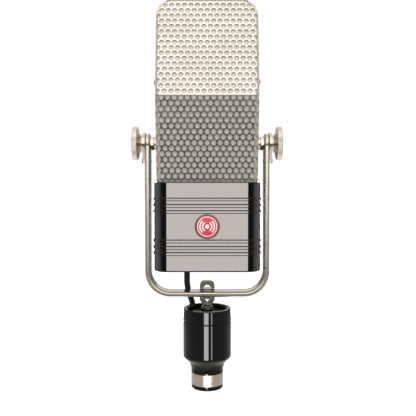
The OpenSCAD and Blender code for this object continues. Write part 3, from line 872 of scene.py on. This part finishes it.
cz, cr = Z_BAR + YOKE_T / 2, YOKE_R - YOKE_T / 2
ax_ = X_ARM + YOKE_T / 2
section = rounded([(YOKE_T / 2, -YOKE_W / 2), (YOKE_T / 2, YOKE_W / 2), (-YOKE_T / 2, YOKE_W / 2), (-YOKE_T / 2, -YOKE_W / 2)], 1.9, 7)
route = []
z_eye = Z_PIVOT - 3
for z in [z_eye] + [Z_RIVET, 200, 160]:
    route.append((Vector((-ax_, 0, z)), Vector((0, 0, -1))))
for k in range(0, 25):
    a = pi + pi / 2 * k / 24
    c = Vector((-ax_ + cr, 0, cz + cr))
    route.append((c + cr * Vector((math.cos(a), 0, math.sin(a))), Vector((-math.sin(a), 0, math.cos(a)))))
for x in (-20, 0, 20):
    route.append((Vector((x, 0, cz)), Vector((1, 0, 0))))
for k in range(0, 25):
    a = -pi / 2 + pi / 2 * k / 24
    c = Vector((ax_ - cr, 0, cz + cr))
    route.append((c + cr * Vector((math.cos(a), 0, math.sin(a))), Vector((-math.sin(a), 0, math.cos(a)))))
for z in (160, 200, Z_RIVET, z_eye):
    route.append((Vector((ax_, 0, z)), Vector((0, 0, 1))))
loops = []
for p, t in route:
    out = Vector((t.z, 0, -t.x))
    loops.append([tuple(p + out * u + Vector((0, v, 0))) for u, v in section])
yoke = loft("yoke_bar", loops)
for s in (-1, 1):
    e = turned("eye", rounded([(0, -YOKE_T / 2), (EYE_R, -YOKE_T / 2), (EYE_R, YOKE_T / 2), (0, YOKE_T / 2)], [0, 2.4, 2.4, 0], 8), 96, "X", (s * ax_, 0, Z_PIVOT))
    combine(yoke, e, "UNION")
combine(yoke, prism("bore", [((STUD_R + 0.05) * math.cos(2 * pi * k / 48), Z_PIVOT + (STUD_R + 0.05) * math.sin(2 * pi * k / 48)) for k in range(48)], -90, 90))
combine(yoke, prism("bore", [(4.95 * math.cos(2 * pi * k / 48), 4.95 * math.sin(2 * pi * k / 48)) for k in range(48)], Z_BAR - 5, Z_BAR + 12, "Z"))
soften(yoke, 40)
finish_piece(yoke, "suspension", "yoke_nickel", "yoke", slot="polished_nickel")


def tangent_pair(c1, r1, c2, r2, n=24):
    """Outline round two circles, one above the other, with straight sides that touch both."""
    d = c1 - c2
    s = math.asin((r1 - r2) / d)
    pts = []
    a0 = -s
    for k in range(2 * n + 1):
        a = a0 + (pi + 2 * s) * k / (2 * n)
        pts.append((r1 * math.cos(a), c1 + r1 * math.sin(a)))
    for k in range(n + 1):
        a = pi + s + (pi - 2 * s) * k / n
        pts.append((r2 * math.cos(a), c2 + r2 * math.sin(a)))
    return pts


def plate(name):
    o = prism(name, tangent_pair(Z_PIVOT, 12.2, Z_RIVET + 3.6, 5.2), X_PLATE + 0.01, X_PLATE + 3.0, "X")
    combine(o, prism("bore", [((STUD_R + 0.05) * math.cos(2 * pi * k / 48), Z_PIVOT + (STUD_R + 0.05) * math.sin(2 * pi * k / 48)) for k in range(48)], 50, 90))
    return bevel(o, 0.6, 3)


l, r = both(plate, "pear_plate_left", "pear_plate_right")
finish_piece(l, "suspension", "polished_nickel", "anti_turn_plate_left")
finish_piece(r, "suspension", "polished_nickel", "anti_turn_plate_right")


def rivet(name):
    head = [(3.4 * math.cos(pi / 2 * k / 8), 1.4 * math.sin(pi / 2 * k / 8)) for k in range(9)]
    out = [(0, X_ARM - 0.9)] + [(2.9 * math.cos(pi / 2 * (8 - k) / 8), X_ARM - 0.05 - 1.15 * math.sin(pi / 2 * (8 - k) / 8)) for k in range(9)]
    out += [(2.9, X_ARM + 0.1), (2.2, X_ARM + 0.1), (2.2, X_PLATE + 2.9), (3.3, X_PLATE + 2.9)]
    out += [(r_, X_PLATE + 3.0 + h) for r_, h in head]
    out[0] = (0, X_ARM - 1.2)
    return turned(name, out, 40, "X", (0, 0, Z_RIVET))


l, r = both(rivet, "rivet_left", "rivet_right")
finish_piece(l, "suspension", "polished_nickel", "yoke_rivets")
finish_piece(r, "suspension", "polished_nickel", "yoke_rivets")


# ---------------------------------------------------------------- pivots and knobs


def hexagon(across_corners, turn=0.0):
    return [(across_corners / 2 * math.cos(turn + pi / 3 * k), across_corners / 2 * math.sin(turn + pi / 3 * k)) for k in range(6)]


def boss(name):
    return turned(name, rounded([(STUD_R + 0.05, X_SCR - 0.1), (7.8, X_SCR - 0.1), (7.8, 61), (STUD_R + 0.05, 61)], [0, 0.1, 0.9, 0.4], 5), 72, "X", (0, 0, Z_PIVOT))


l, r = both(boss, "boss_left", "boss_right")
finish_piece(l, "head", "polished_nickel", "pivot_bosses")
finish_piece(r, "head", "polished_nickel", "pivot_bosses")


def hex_nut(name, x0, x1, corners, turn, hole):
    o = prism(name, [(a, b + Z_PIVOT) for a, b in hexagon(corners, turn)], x0, x1, "X")
    c = corners / 2
    cone = turned("cone", [(0, x0 - 0.01), (c * 0.90, x0 - 0.01), (c * 1.02, x0 + 0.75), (c * 1.02, x1 - 0.75), (c * 0.90, x1 + 0.01), (0, x1 + 0.01)], 72, "X", (0, 0, Z_PIVOT))
    combine(o, cone, "INTERSECT")
    combine(o, prism("bore", [(hole * math.cos(2 * pi * k / 48), Z_PIVOT + hole * math.sin(2 * pi * k / 48)) for k in range(48)], x0 - 5, x1 + 5))
    return bevel(o, 0.18, 2, 25)


l, r = both(lambda n: hex_nut(n, 61.02, X_ARM - 0.15, 16.16, 0.3, STUD_R + 0.02), "jam_nut_left", "jam_nut_right")
finish_piece(l, "head", "polished_nickel", "jam_nuts")
finish_piece(r, "head", "polished_nickel", "jam_nuts")


def pivot_stud(name):
    prof = [(0, 45), (6.5, 45), (6.5, 49), (STUD_R - 0.35, 49)]
    x, k = 49.0, 0
    while x < 82.2:
        prof.append((STUD_R if k % 2 else STUD_R - 0.32, x + 0.3))
        x += 0.5
        k += 1
    prof += [(STUD_R - 0.8, 83), (0, 83)]
    return turned(name, prof, 40, "X", (0, 0, Z_PIVOT))


l, r = both(pivot_stud, "stud_left", "stud_right")
finish_piece(l, "head", "satin_nickel", "pivot_studs")
finish_piece(r, "head", "satin_nickel", "pivot_studs")


def washer_pair(name):
    a = turned("w1", rounded([(STUD_R + 0.05, X_WASHER), (10.2, X_WASHER), (10.2, X_WASHER + 1.0), (STUD_R + 0.05, X_WASHER + 1.0)], [0, 0.3, 0.3, 0], 4), 72, "X", (0, 0, Z_PIVOT))
    b = turned("w2", rounded([(STUD_R + 0.05, X_WASHER + 1.0), (8.8, X_WASHER + 1.0), (8.8, X_HUB - 0.05), (STUD_R + 0.05, X_HUB - 0.05)], [0, 0.25, 0.25, 0], 4), 72, "X", (0, 0, Z_PIVOT))
    return join([a, b], name)


l, r = both(washer_pair, "washer_pair_left", "washer_pair_right")
finish_piece(l, "left_clamp", "polished_nickel", "washers_left")
finish_piece(r, "right_clamp", "polished_nickel", "washers_right")

TEETH = 96


def knob(name):
    R = KNOB_R
    x = X_HUB
    neck = rounded([(0, x), (9.1, x), (9.25, x + 0.45), (10.4, x + 0.9), (12.1, x + 2.1), (14.2, x + 3.0), (R - 1.5, x + 3.35), (R - 0.3, x + 3.8), (R, x + 4.4),
                    (R, X_KNOB - 0.6), (R - 0.7, X_KNOB), (R - 2.8, X_KNOB), (R - 3.8, X_KNOB - 0.7), (7.2, X_KNOB - 0.7), (6.2, X_KNOB), (0, X_KNOB)],
                   [0, 0.2, 0.2, 0.5, 2.0, 1.5, 0.4, 0.3, 0.3, 0.3, 0.3, 0.4, 0.4, 0.4, 0.4, 0], 4)

    def teeth(r_, h, a):
        if r_ > R - 0.45 and x + 4.2 < h < X_KNOB - 0.25:
            return -0.22 * abs(math.sin(a * TEETH / 2)) ** 0.8
        return 0

    o = turned(name, neck, TEETH * 4, "X", (0, 0, Z_PIVOT), wobble=teeth, smooth=28)
    combine(o, prism("bore", [((STUD_R + 0.05) * math.cos(2 * pi * k / 48), Z_PIVOT + (STUD_R + 0.05) * math.sin(2 * pi * k / 48)) for k in range(48)], 60, 83.6))
    soften(o, 28)
    return o


l, r = both(knob, "clamp_knob_left", "clamp_knob_right")
soften(l, 28)
finish_piece(l, "left_knob", "polished_nickel", "knob_left")
finish_piece(r, "right_knob", "polished_nickel", "knob_right")


def side_screw(name):
    h = X_SIDE - X_SCR
    prof = [(0, 45), (2, 45), (2, X_SCR - 0.02), (4.4, X_SCR - 0.02), (4.4, X_SCR + 0.5 * h)]
    prof += [(4.4 * math.cos(pi / 2 * k / 9), X_SCR + 0.5 * h + 0.5 * h * math.sin(pi / 2 * k / 9)) for k in range(1, 10)]
    prof[-1] = (0, X_SIDE)
    o = turned(name, prof, 48, "X", (0, 0, Z_SIDE))
    s = 0.5
    slot = prism("cut", [(-6 * math.cos(s) - 0.5 * math.sin(s), Z_SIDE - 6 * math.sin(s) + 0.5 * math.cos(s)), (-6 * math.cos(s) + 0.5 * math.sin(s), Z_SIDE - 6 * math.sin(s) - 0.5 * math.cos(s)),
                         (6 * math.cos(s) + 0.5 * math.sin(s), Z_SIDE + 6 * math.sin(s) - 0.5 * math.cos(s)), (6 * math.cos(s) - 0.5 * math.sin(s), Z_SIDE + 6 * math.sin(s) + 0.5 * math.cos(s))], X_SIDE - 1.3, X_SIDE + 3, "X")
    return combine(o, slot)


l, r = both(side_screw, "side_screw_left", "side_screw_right")
finish_piece(l, "head", "polished_nickel", "side_screws")
finish_piece(r, "head", "polished_nickel", "side_screws")


# ---------------------------------------------------------------- eyes, stud and nut

EZ = Z_BAR + YOKE_T


def arch(name, outline, hole, depth_y, width):
    o = prism(name, outline, -depth_y / 2, depth_y / 2, "Y")
    combine(o, prism("gap", hole, -20, 20, "Y"))
    return bevel(o, width, 5, 30)


up_out = rounded([(-7.8, EZ + 2.1), (7.8, EZ + 2.1), (8.8, EZ + 4.4), (8.1, EZ + 7.8), (6.3, EZ + 10.8), (3.8, EZ + 11.8), (-3.8, EZ + 11.8), (-6.3, EZ + 10.8), (-8.1, EZ + 7.8), (-8.8, EZ + 4.4)],
                 [0, 0, 1.6, 3, 3, 2, 2, 3, 3, 1.6], 5)
up_gap = rounded([(-5.3, EZ + 2.75), (5.3, EZ + 2.75), (3.5, EZ + 5.2), (1.2, EZ + 7.3), (-1.2, EZ + 7.3), (-3.5, EZ + 5.2)], [0.5, 0.5, 1.5, 1, 1, 1.5], 4)
eye = arch("upper_eye", up_out, up_gap, 9.0, 1.9)
collar = turned("collar", rounded([(4.95, EZ + 0.02), (8.9, EZ + 0.02), (8.9, EZ + 1.5), (8.0, EZ + 2.7), (4.95, EZ + 2.7)], [0, 0.5, 0.6, 0.5, 0], 4), 72)
combine(eye, collar, "UNION")
for s in (-1, 1):
    bead = turned("bead", rounded([(0, -4.45), (2.0, -4.45), (2.0, 4.45), (0, 4.45)], [0, 0.9, 0.9, 0], 4), 32, "Y", (s * 3.4, 0, EZ + 9.7))
    combine(eye, bead, "UNION")
soften(eye, 40)
finish_piece(eye, "suspension", "shaded_fitting_nickel", "eye_nut", slot="polished_nickel")

low_out = rounded([(-8.7, Z_BAR - 2.4), (8.7, Z_BAR - 2.4), (8.7, Z_BAR - 3.8), (7.4, Z_BAR - 6.4), (4.9, Z_BAR - 10.4), (-4.9, Z_BAR - 10.4), (-7.4, Z_BAR - 6.4), (-8.7, Z_BAR - 3.8)],
                  [0, 0, 1.2, 2, 1, 1, 2, 1.2], 5)
low_gap = rounded([(0, Z_BAR - 7.8), (4.7, Z_BAR - 3.2), (-4.7, Z_BAR - 3.2)], [0.5, 0.6, 0.6], 4)
stud = arch("stud_eye", low_out, low_gap, 9.0, 1.7)
flange = turned("flange", rounded([(0, Z_BAR - 2.6), (8.9, Z_BAR - 2.6), (8.9, Z_BAR - 0.02), (4.9, Z_BAR - 0.02), (4.9, Z_BAR + 6.8), (4.3, Z_BAR + 7.35), (0, Z_BAR + 7.35)], [0, 0.5, 0.5, 0, 0, 0, 0], 4), 72)
combine(stud, flange, "UNION")
shank = [(0, 41), (4.4, 41), (4.95, 41.6)]
z, k = 42.0, 0
while z < 93.5:
    shank.append((4.98 if k % 2 else 4.62, z))
    z += 0.55
    k += 1
shank += [(4.98, 94), (4.98, Z_BAR - 10.0), (0, Z_BAR - 10.0)]
shank = turned("shank", shank, 40)
combine(stud, shank, "UNION")
soften(stud, 40)
finish_piece(stud, "suspension", "shaded_fitting_nickel", "eye_stud", slot="polished_nickel")


def crown():
    z0 = Z_RIM - 4.68
    o = prism("crown", hexagon(15.4, 0.12), z0, z0 + 4.0, "Z")
    cone = turned("cone", [(0, z0 - 0.01), (7.0, z0 - 0.01), (7.9, z0 + 0.8), (7.9, z0 + 3.2), (7.0, z0 + 4.01), (0, z0 + 4.01)], 72)
    combine(o, cone, "INTERSECT")
    tower = turned("tower", rounded([(0, z0 + 3.9), (6.5, z0 + 3.9), (6.5, z0 + 6.5), (0, z0 + 6.5)], [0, 0, 0.5, 0], 4), 60)
    combine(o, tower, "UNION")
    combine(o, turned("bore", [(0, z0 - 4), (4.99, z0 - 4), (4.99, z0 + 12), (0, z0 + 12)], 40))
    for k in range(3):
        a = pi / 3 * k + 0.12 + pi / 6
        c, s = math.cos(a), math.sin(a)
        combine(o, prism("slot", [(-10 * c - s, -10 * s + c), (-10 * c + s, -10 * s - c), (10 * c + s, 10 * s - c), (10 * c - s, 10 * s + c)], z0 + 4.4, z0 + 9, "Z"))
    return bevel(o, 0.25, 2, 30)


finish_piece(crown(), "suspension", "shaded_fitting_nickel", "crown_nut", slot="polished_nickel")


# ---------------------------------------------------------------- cushion mount

cap = turned("cap_ring", rounded([(24.2, 72.9), (24.2, 78), (26.2, 78), (26.2, Z_CAP - 0.05), (DRUM_R, Z_CAP + 0.3), (DRUM_R, Z_RIM), (23.3, Z_RIM), (23.3, Z_RIM - 0.9), (22.75, Z_RIM - 1.6),
                                  (22.75, 82.9), (17, 82.9), (17, 78.9), (21, 78.9), (21, 72.9)], [0, 0, 0, 0.2, 0.5, 0.8, 0.35, 0.3, 0.5, 0.4, 0, 0, 0, 0], 6), 160)
finish_piece(cap, "mount", "mount_lacquer", "mount_cap", slot="black_gloss_lacquer")

neck = [(BAND_R + 0.05, Z_NECK), (18.6, 21.5), (18.9, 24.1), (19.6, 26.4), (20.5, 28.7), (21.9, 30.9), (24.3, 33.3), (26.4, 35.4), (27.4, 36.7), (DRUM_R - 0.02, 38.5)]


def smooth_line(pts, steps=6):
    return [(p.x, p.y) for p in spline([(a, b, 0) for a, b in pts], steps)]


outer = smooth_line(neck)
outer += rounded([(DRUM_R - 0.02, 39.4), (DRUM_R - 0.02, 77.85), (24.3, 77.85)], [0, 0.7, 0], 5, closed=False)[:-1]
housing = turned("drum", outer + [(24.3, 77.85), (24.3, 49), (21, 49), (21, 37), (9, 37), (9, 20.05), (11.05, 20.05), (11.05, Z_NECK)], 160)
ang = math.atan2(INLET[1], INLET[0])
bore = turned("bore", [(0, 20), (4.0, 20), (4.0, 40), (0, 40)], 40, "X")
bore.data.transform(Matrix.Rotation(ang, 4, "Z"))
bore.data.transform(Matrix.Translation((0, 0, 0.064)))
combine(housing, bore)
soften(housing, 35)
finish_piece(housing, "mount", "mount_lacquer", "mount_housing", slot="black_gloss_lacquer")

band = turned("nickel_ring", rounded([(11.05, Z_BAND), (BAND_R, Z_BAND), (BAND_R, Z_NECK), (11.05, Z_NECK)], [0, 0.45, 0.45, 0], 6), 128)
finish_piece(band, "mount", "satin_nickel", "nickel_band")
foot = turned("foot_ring", rounded([(11.05, 0), (17.4, 0), (18.3, 0.9), (18.3, Z_BAND - 0.02), (11.05, Z_BAND - 0.02)], [0, 0.8, 0.8, 0.25, 0], 6), 128)
finish_piece(foot, "mount", "mount_lacquer", "bottom_ring", slot="black_gloss_lacquer")


def threaded_insert():
    seg, pitch, r0, r1, h = 64, 0.9407, 7.46, 7.92, 20.0
    rows = int(h / pitch * 8)
    verts, faces = [], []
    for i in range(rows + 1):
        z = h * i / rows
        fade = min(1, z / 0.9, (h - z) / 0.9)
        for k in range(seg):
            a = 2 * pi * k / seg
            ph = (z / pitch - k / seg) % 1
            r = r0 + (r1 - r0) * (1 - abs(2 * ph - 1)) * fade + (0.5 * (1 - z / 0.6) if z < 0.6 else 0)
            verts.append((r * math.cos(a), r * math.sin(a), z))
    for i in range(rows):
        for k in range(seg):
            k2 = (k + 1) % seg
            faces.append((i * seg + k, i * seg + k2, (i + 1) * seg + k2, (i + 1) * seg + k))
    base = len(verts)
    for z in (h, 0.0):
        for k in range(seg):
            a = 2 * pi * k / seg
            verts.append((10.98 * math.cos(a), 10.98 * math.sin(a), z))
    for k in range(seg):
        k2 = (k + 1) % seg
        faces.append((rows * seg + k, rows * seg + k2, base + k2, base + k))
        faces.append((base + k, base + k2, base + seg + k2, base + seg + k))
        faces.append((base + seg + k, base + seg + k2, k2, k))
    return make("thread_sleeve", verts, faces, 50)


finish_piece(threaded_insert(), "mount", "brass", "thread_insert")


def rubber(name, profile, node, parts=8, steps=6):
    """A rubber ring in sectors, between the cup and the stud."""
    for p in range(parts):
        a0 = 2 * pi * p / parts
        loops = [[(r_ * math.cos(a), r_ * math.sin(a), z_) for r_, z_ in profile] for a in [a0 + 2 * pi / parts * k / steps for k in range(steps + 1)]]
        o = loft(f"{name}_{p + 1}", loops)
        o.data.materials.append(M["black_rubber"])
        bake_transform(o)
        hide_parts(node)


def ring_profile(r0, r1, z0, z1, dish=0.0):
    out = [(r0, z0)] + [(r0 + (r1 - r0) * k / 8, z0) for k in range(1, 9)]
    top = [(r1, z1), (r1 - 1.1, z1 + dish), (r1 - 2.2, z1 + dish), (r1 - 3.0, z1), (r1 - 5, z1 - 0.15), (r1 - 9, z1 - 0.1), (r0 + 4, z1), (r0, z1)]
    return out + top


rubber("upper_rubber", ring_profile(5.05, 22.7, 82.95, 86.7, 0.55), "upper_bushing")
rubber("lower_rubber", ring_profile(5.05, 24.2, 49.05, 56.9), "lower_bushing")


def lead_elbow():
    x, y = INLET
    cup = turned("cup", rounded([(3.8, 58), (5.0, 58), (6.0, 61.6), (6.0, 69), (4.6, 70.6), (0, 70.6), (0, 65), (3.8, 65)], [0.4, 0.5, 1.0, 0.8, 0.8, 0, 0, 0], 5), 48, "Z", (x, y, 0))
    d = math.hypot(x, y)
    arm = turned("arm", rounded([(0, 24), (3.95, 24), (3.95, 27.6), (5.4, 27.75), (5.4, d), (0, d)], [0, 0, 0, 0.4, 0, 0], 4), 48, "X")
    arm.data.transform(Matrix.Rotation(ang, 4, "Z"))
    arm.data.transform(Matrix.Translation((0, 0, 0.064)))
    combine(cup, arm, "UNION")
    combine(cup, turned("bore", [(0, 50), (3.8, 50), (3.8, 65), (0, 65)], 40, "Z", (x, y, 0)))
    cup.name = "lead_elbow"
    soften(cup, 35)
    return cup


finish_piece(lead_elbow(), "mount", "black_matte", "lead_inlet")

gland_prof = [(3.6, 131.2), (4.3, 131.2)]
for k in range(6):
    z0 = 131.6 + 0.95 * k
    r_ = 4.5 + 0.19 * k
    gland_prof += [(r_ + 0.28, z0), (r_ + 0.28, z0 + 0.45), (r_ - 0.12, z0 + 0.5), (r_ - 0.12, z0 + 0.9)]
gland_prof += [(6.2, 137.3), (6.6, 137.6), (6.6, 139.05), (5.0, 139.1), (5.0, 141.6), (7.0, 141.6), (7.0, 144.2), (3.6, 144.2)]
gl = turned("strain_relief", gland_prof, 48, "Z", (GLAND[0], GLAND[1], 0))
finish_piece(gl, "head", "black_rubber", "cable_gland")
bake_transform(cable)


# slotted screws under the case
screws = []
for x in (-46, 46):
    for y in (-17, 17):
        o = turned("screw", rounded([(0, Z_CASE + 8.9), (2.0, Z_CASE + 8.9), (2.0, Z_CASE + 1.0), (3.6, Z_CASE + 1.0), (2.9, Z_CASE + 0.1), (0, Z_CASE + 0.05)], [0, 0.2, 0, 0.1, 0.3, 0], 3), 36, "Z", (x, y, 0))
        t = 0.4 * x + 0.7 * y
        c, s = math.cos(t), math.sin(t)
        combine(o, prism("slot", [(x - 5 * c - 0.4 * s, y - 5 * s + 0.4 * c), (x - 5 * c + 0.4 * s, y - 5 * s - 0.4 * c), (x + 5 * c + 0.4 * s, y + 5 * s - 0.4 * c), (x + 5 * c - 0.4 * s, y + 5 * s + 0.4 * c)], Z_CASE - 2, Z_CASE + 0.7, "Z"))
        screws.append(o)
finish_piece(join(screws, "bottom_screws"), "head", "satin_nickel", "base_screws")


# ---------------------------------------------------------------- CAD nodes that stay

STAY = {
    "stud_washers": "satin_nickel", "stop_nut": "satin_nickel",
    "chassis_bracket_left": "black_matte", "chassis_bracket_right": "black_matte", "base_bottom_plate": "black_matte",
    "horseshoe_magnet": "magnet_steel", "motor_plate": "black_matte", "pole_piece_left": "pole_steel", "pole_piece_right": "pole_steel",
    "pole_bridge_top": "brass", "pole_bridge_bottom": "fibre_board", "ribbon": "ribbon_foil", "ribbon_clamp_top": "brass", "ribbon_clamp_bottom": "brass",
    "transformer_core": "core_steel", "transformer_coil": "coil_wire", "terminal_board": "fibre_board",
}
for node, mat_name in STAY.items():
    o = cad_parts[node]
    for s in o.material_slots:
        s.material = M[mat_name]


# ---------------------------------------------------------------- light, world and floor

world = bpy.data.worlds.new("studio")
scene.world = world
world.use_nodes = True
wt = world.node_tree
wt.nodes.clear()


def wn(kind, **props):
    n = wt.nodes.new(kind)
    for k, v in props.items():
        setattr(n, k, v)
    return n


def wmath(op, a, b=None, c=None):
    n = wn("ShaderNodeMath", operation=op)
    for i, v in enumerate((a, b, c)):
        if v is None:
            continue
        if isinstance(v, (int, float)):
            n.inputs[i].default_value = v
        else:
            wt.links.new(v, n.inputs[i])
    return n.outputs[0]


def wcurve(value, stops):
    """Strength along a line of (degrees, strength) stops."""
    lo, hi = stops[0][0], stops[-1][0]
    m_ = wn("ShaderNodeMapRange")
    m_.inputs["From Min"].default_value = math.radians(lo)
    m_.inputs["From Max"].default_value = math.radians(hi)
    wt.links.new(value, m_.inputs["Value"])
    n = wn("ShaderNodeValToRGB")
    e = n.color_ramp.elements
    e[0].position, e[1].position = 0.0, 1.0
    e[0].color = (stops[0][1] / 4, stops[0][1] / 4, stops[0][1] / 4, 1)
    e[1].color = (stops[-1][1] / 4, stops[-1][1] / 4, stops[-1][1] / 4, 1)
    for d_, v_ in stops[1:-1]:
        x_ = e.new((d_ - lo) / (hi - lo))
        x_.color = (v_ / 4, v_ / 4, v_ / 4, 1)
    wt.links.new(m_.outputs["Result"], n.inputs["Fac"])
    sep = wn("ShaderNodeSeparateColor")
    wt.links.new(n.outputs["Color"], sep.inputs["Color"])
    return wmath("MULTIPLY", sep.outputs[0], 4.0)


tc = wn("ShaderNodeTexCoord")
sx = wn("ShaderNodeSeparateXYZ")
wt.links.new(tc.outputs["Generated"], sx.inputs["Vector"])
minus_y = wmath("MULTIPLY", sx.outputs["Y"], -1.0)
az = wmath("ABSOLUTE", wmath("ARCTAN2", sx.outputs["X"], minus_y))
el = wmath("ARCSINE", sx.outputs["Z"])
OVER = [(45, 1.4), (60, 1.2), (78, 0.9), (90, 0.8)]
zones = [
    (wcurve(el, [(-90, 1.3), (-62, 1.2), (-45, 0.65), (-30, 0.17), (-23, 0.075), (-17, 0.08), (-13, 0.17), (-10.7, 0.28), (-6, 0.6), (-4, 0.8), (-1, 1.15), (2, 1.5), (20, 1.5)] + OVER),
     wcurve(az, [(0, 1), (13, 1), (19, 0), (180, 0)]), (1.0, 0.985, 0.955)),
    (wcurve(el, [(-90, 1.3), (-60, 1.1), (-45, 0.75), (-25, 0.55), (-12.5, 0.42), (-10.5, 0.07), (2, 0.07), (6, 0.9), (20, 1.5)] + OVER),
     wcurve(az, [(0, 0), (13, 0), (19, 1), (50, 1), (60, 0), (180, 0)]), (1.0, 0.985, 0.955)),
    (wcurve(el, [(-90, 1.3), (-60, 1.1), (-40, 0.6), (-10, 0.5), (12, 0.5), (30, 1.0)] + OVER),
     wcurve(az, [(0, 0), (50, 0), (60, 1), (100, 1), (125, 0), (180, 0)]), (1.0, 0.90, 0.78)),
    (wcurve(el, [(-90, 0.9), (-30, 0.9), (-14, 0.6), (-11.5, 0.16), (3, 0.16), (6, 0.6), (9, 0.68), (22, 0.68), (34, 0.95), (60, 1.0), (90, 0.8)]),
     wcurve(az, [(0, 0), (100, 0), (125, 1), (180, 1)]), (1.0, 0.985, 0.965)),
]
total = None
for strength, share, colour in zones:
    v_ = wmath("MULTIPLY", strength, share)
    c_ = wn("ShaderNodeCombineXYZ")
    for i_, g_ in enumerate(colour):
        wt.links.new(wmath("MULTIPLY", v_, g_), c_.inputs[i_])
    if total is None:
        total = c_.outputs[0]
    else:
        a_ = wn("ShaderNodeVectorMath", operation="ADD")
        wt.links.new(total, a_.inputs[0])
        wt.links.new(c_.outputs[0], a_.inputs[1])
        total = a_.outputs[0]
bg = wn("ShaderNodeBackground")
wt.links.new(total, bg.inputs["Color"])
bg.inputs["Strength"].default_value = 1.0
seen = wn("ShaderNodeBackground")
seen.inputs["Color"].default_value = (1, 1, 1, 1)
seen.inputs["Strength"].default_value = 1.0
lp = wn("ShaderNodeLightPath")
mix = wn("ShaderNodeMixShader")
wt.links.new(lp.outputs["Is Camera Ray"], mix.inputs[0])
wt.links.new(bg.outputs[0], mix.inputs[1])
wt.links.new(seen.outputs[0], mix.inputs[2])
out = wn("ShaderNodeOutputWorld")
wt.links.new(mix.outputs[0], out.inputs["Surface"])


def card(name, x0, x1, z0, z1, y, radiance, receivers, color=(1, 1, 1)):
    """A soft box in front of the microphone that faces +Y and lights only the receivers."""
    d = bpy.data.lights.new(name, "AREA")
    d.shape = "RECTANGLE"
    d.size, d.size_y = x1 - x0, z1 - z0
    d.color = color
    d.energy = radiance * pi * d.size * d.size_y
    o = bpy.data.objects.new(name, d)
    scene.collection.objects.link(o)
    o.location = ((x0 + x1) / 2, y, (z0 + z1) / 2)
    o.rotation_euler = (math.radians(90), 0, 0) if y < 0 else (math.radians(-90), 0, 0)
    o.visible_camera = False
    if receivers:
        c = bpy.data.collections.new(name + "_lit")
        for r_ in receivers:
            c.objects.link(r_)
        o.light_linking.receiver_collection = c
    return o


LACQUER = [case]
MOUNT = [cap, housing, foot, band]
card("case_card", -0.98, 0.98, -0.62, 0.42, -3.0, 25.0, LACQUER, (1.0, 0.92, 0.87))
card("mount_card", -0.80, 0.31, -1.02, -0.42, -3.0, 20.5, MOUNT, (1.0, 0.935, 0.935))
card("mount_strip", 0.95, 1.36, -1.02, -0.42, -3.0, 9.7, MOUNT, (1.0, 0.95, 0.97))
card("rear_card", -0.98, 0.98, -0.62, 0.42, 3.0, 10.0, LACQUER + MOUNT, (1.0, 0.955, 0.925))

for s_ in (-1, 1):
    o = card("side_card", -1.7, 1.7, -0.7, 0.5, 3.0, 1.5, LACQUER, (1.0, 0.97, 0.96))
    o.location = (s_ * 3.0, 0.4, -0.1)
    o.rotation_euler = (math.radians(90), 0, math.radians(s_ * 90))

for name, tilt, spin in (("mesh_key", 38, 0), ("mesh_key_rear", 38, 180)):
    d = bpy.data.lights.new(name, "SUN")
    d.energy = 2.35
    d.angle = math.radians(16)
    d.color = (1.0, 0.975, 0.94)
    o = bpy.data.objects.new(name, d)
    scene.collection.objects.link(o)
    o.rotation_euler = (math.radians(tilt), 0, math.radians(spin))
    c = bpy.data.collections.new(name + "_lit")
    for r_ in (lining, lining_rear):
        c.objects.link(r_)
    o.light_linking.receiver_collection = c

fm = Mat("floor_pale", (0.86, 0.86, 0.86), 0.0, 0.8)
fm.tint(fm.noise(1.2, 3), (0.85, 0.85, 0.85), (0.88, 0.88, 0.88)).rough(fm.noise(6, 3), 0.75, 0.85)
fm.b.inputs["Emission Color"].default_value = (1, 1, 1, 1)
fm.b.inputs["Emission Strength"].default_value = 0.35
floor_me = bpy.data.meshes.new("floor")
floor_me.from_pydata([(-30, -30, -1.3), (30, -30, -1.3), (30, 30, -1.3), (-30, 30, -1.3)], [], [(0, 1, 2, 3)])
floor = bpy.data.objects.new("floor", floor_me)
scene.collection.objects.link(floor)
floor_me.materials.append(fm.m)
floor.visible_glossy = False
floor.visible_shadow = False

scene.view_settings.view_transform = "Standard"
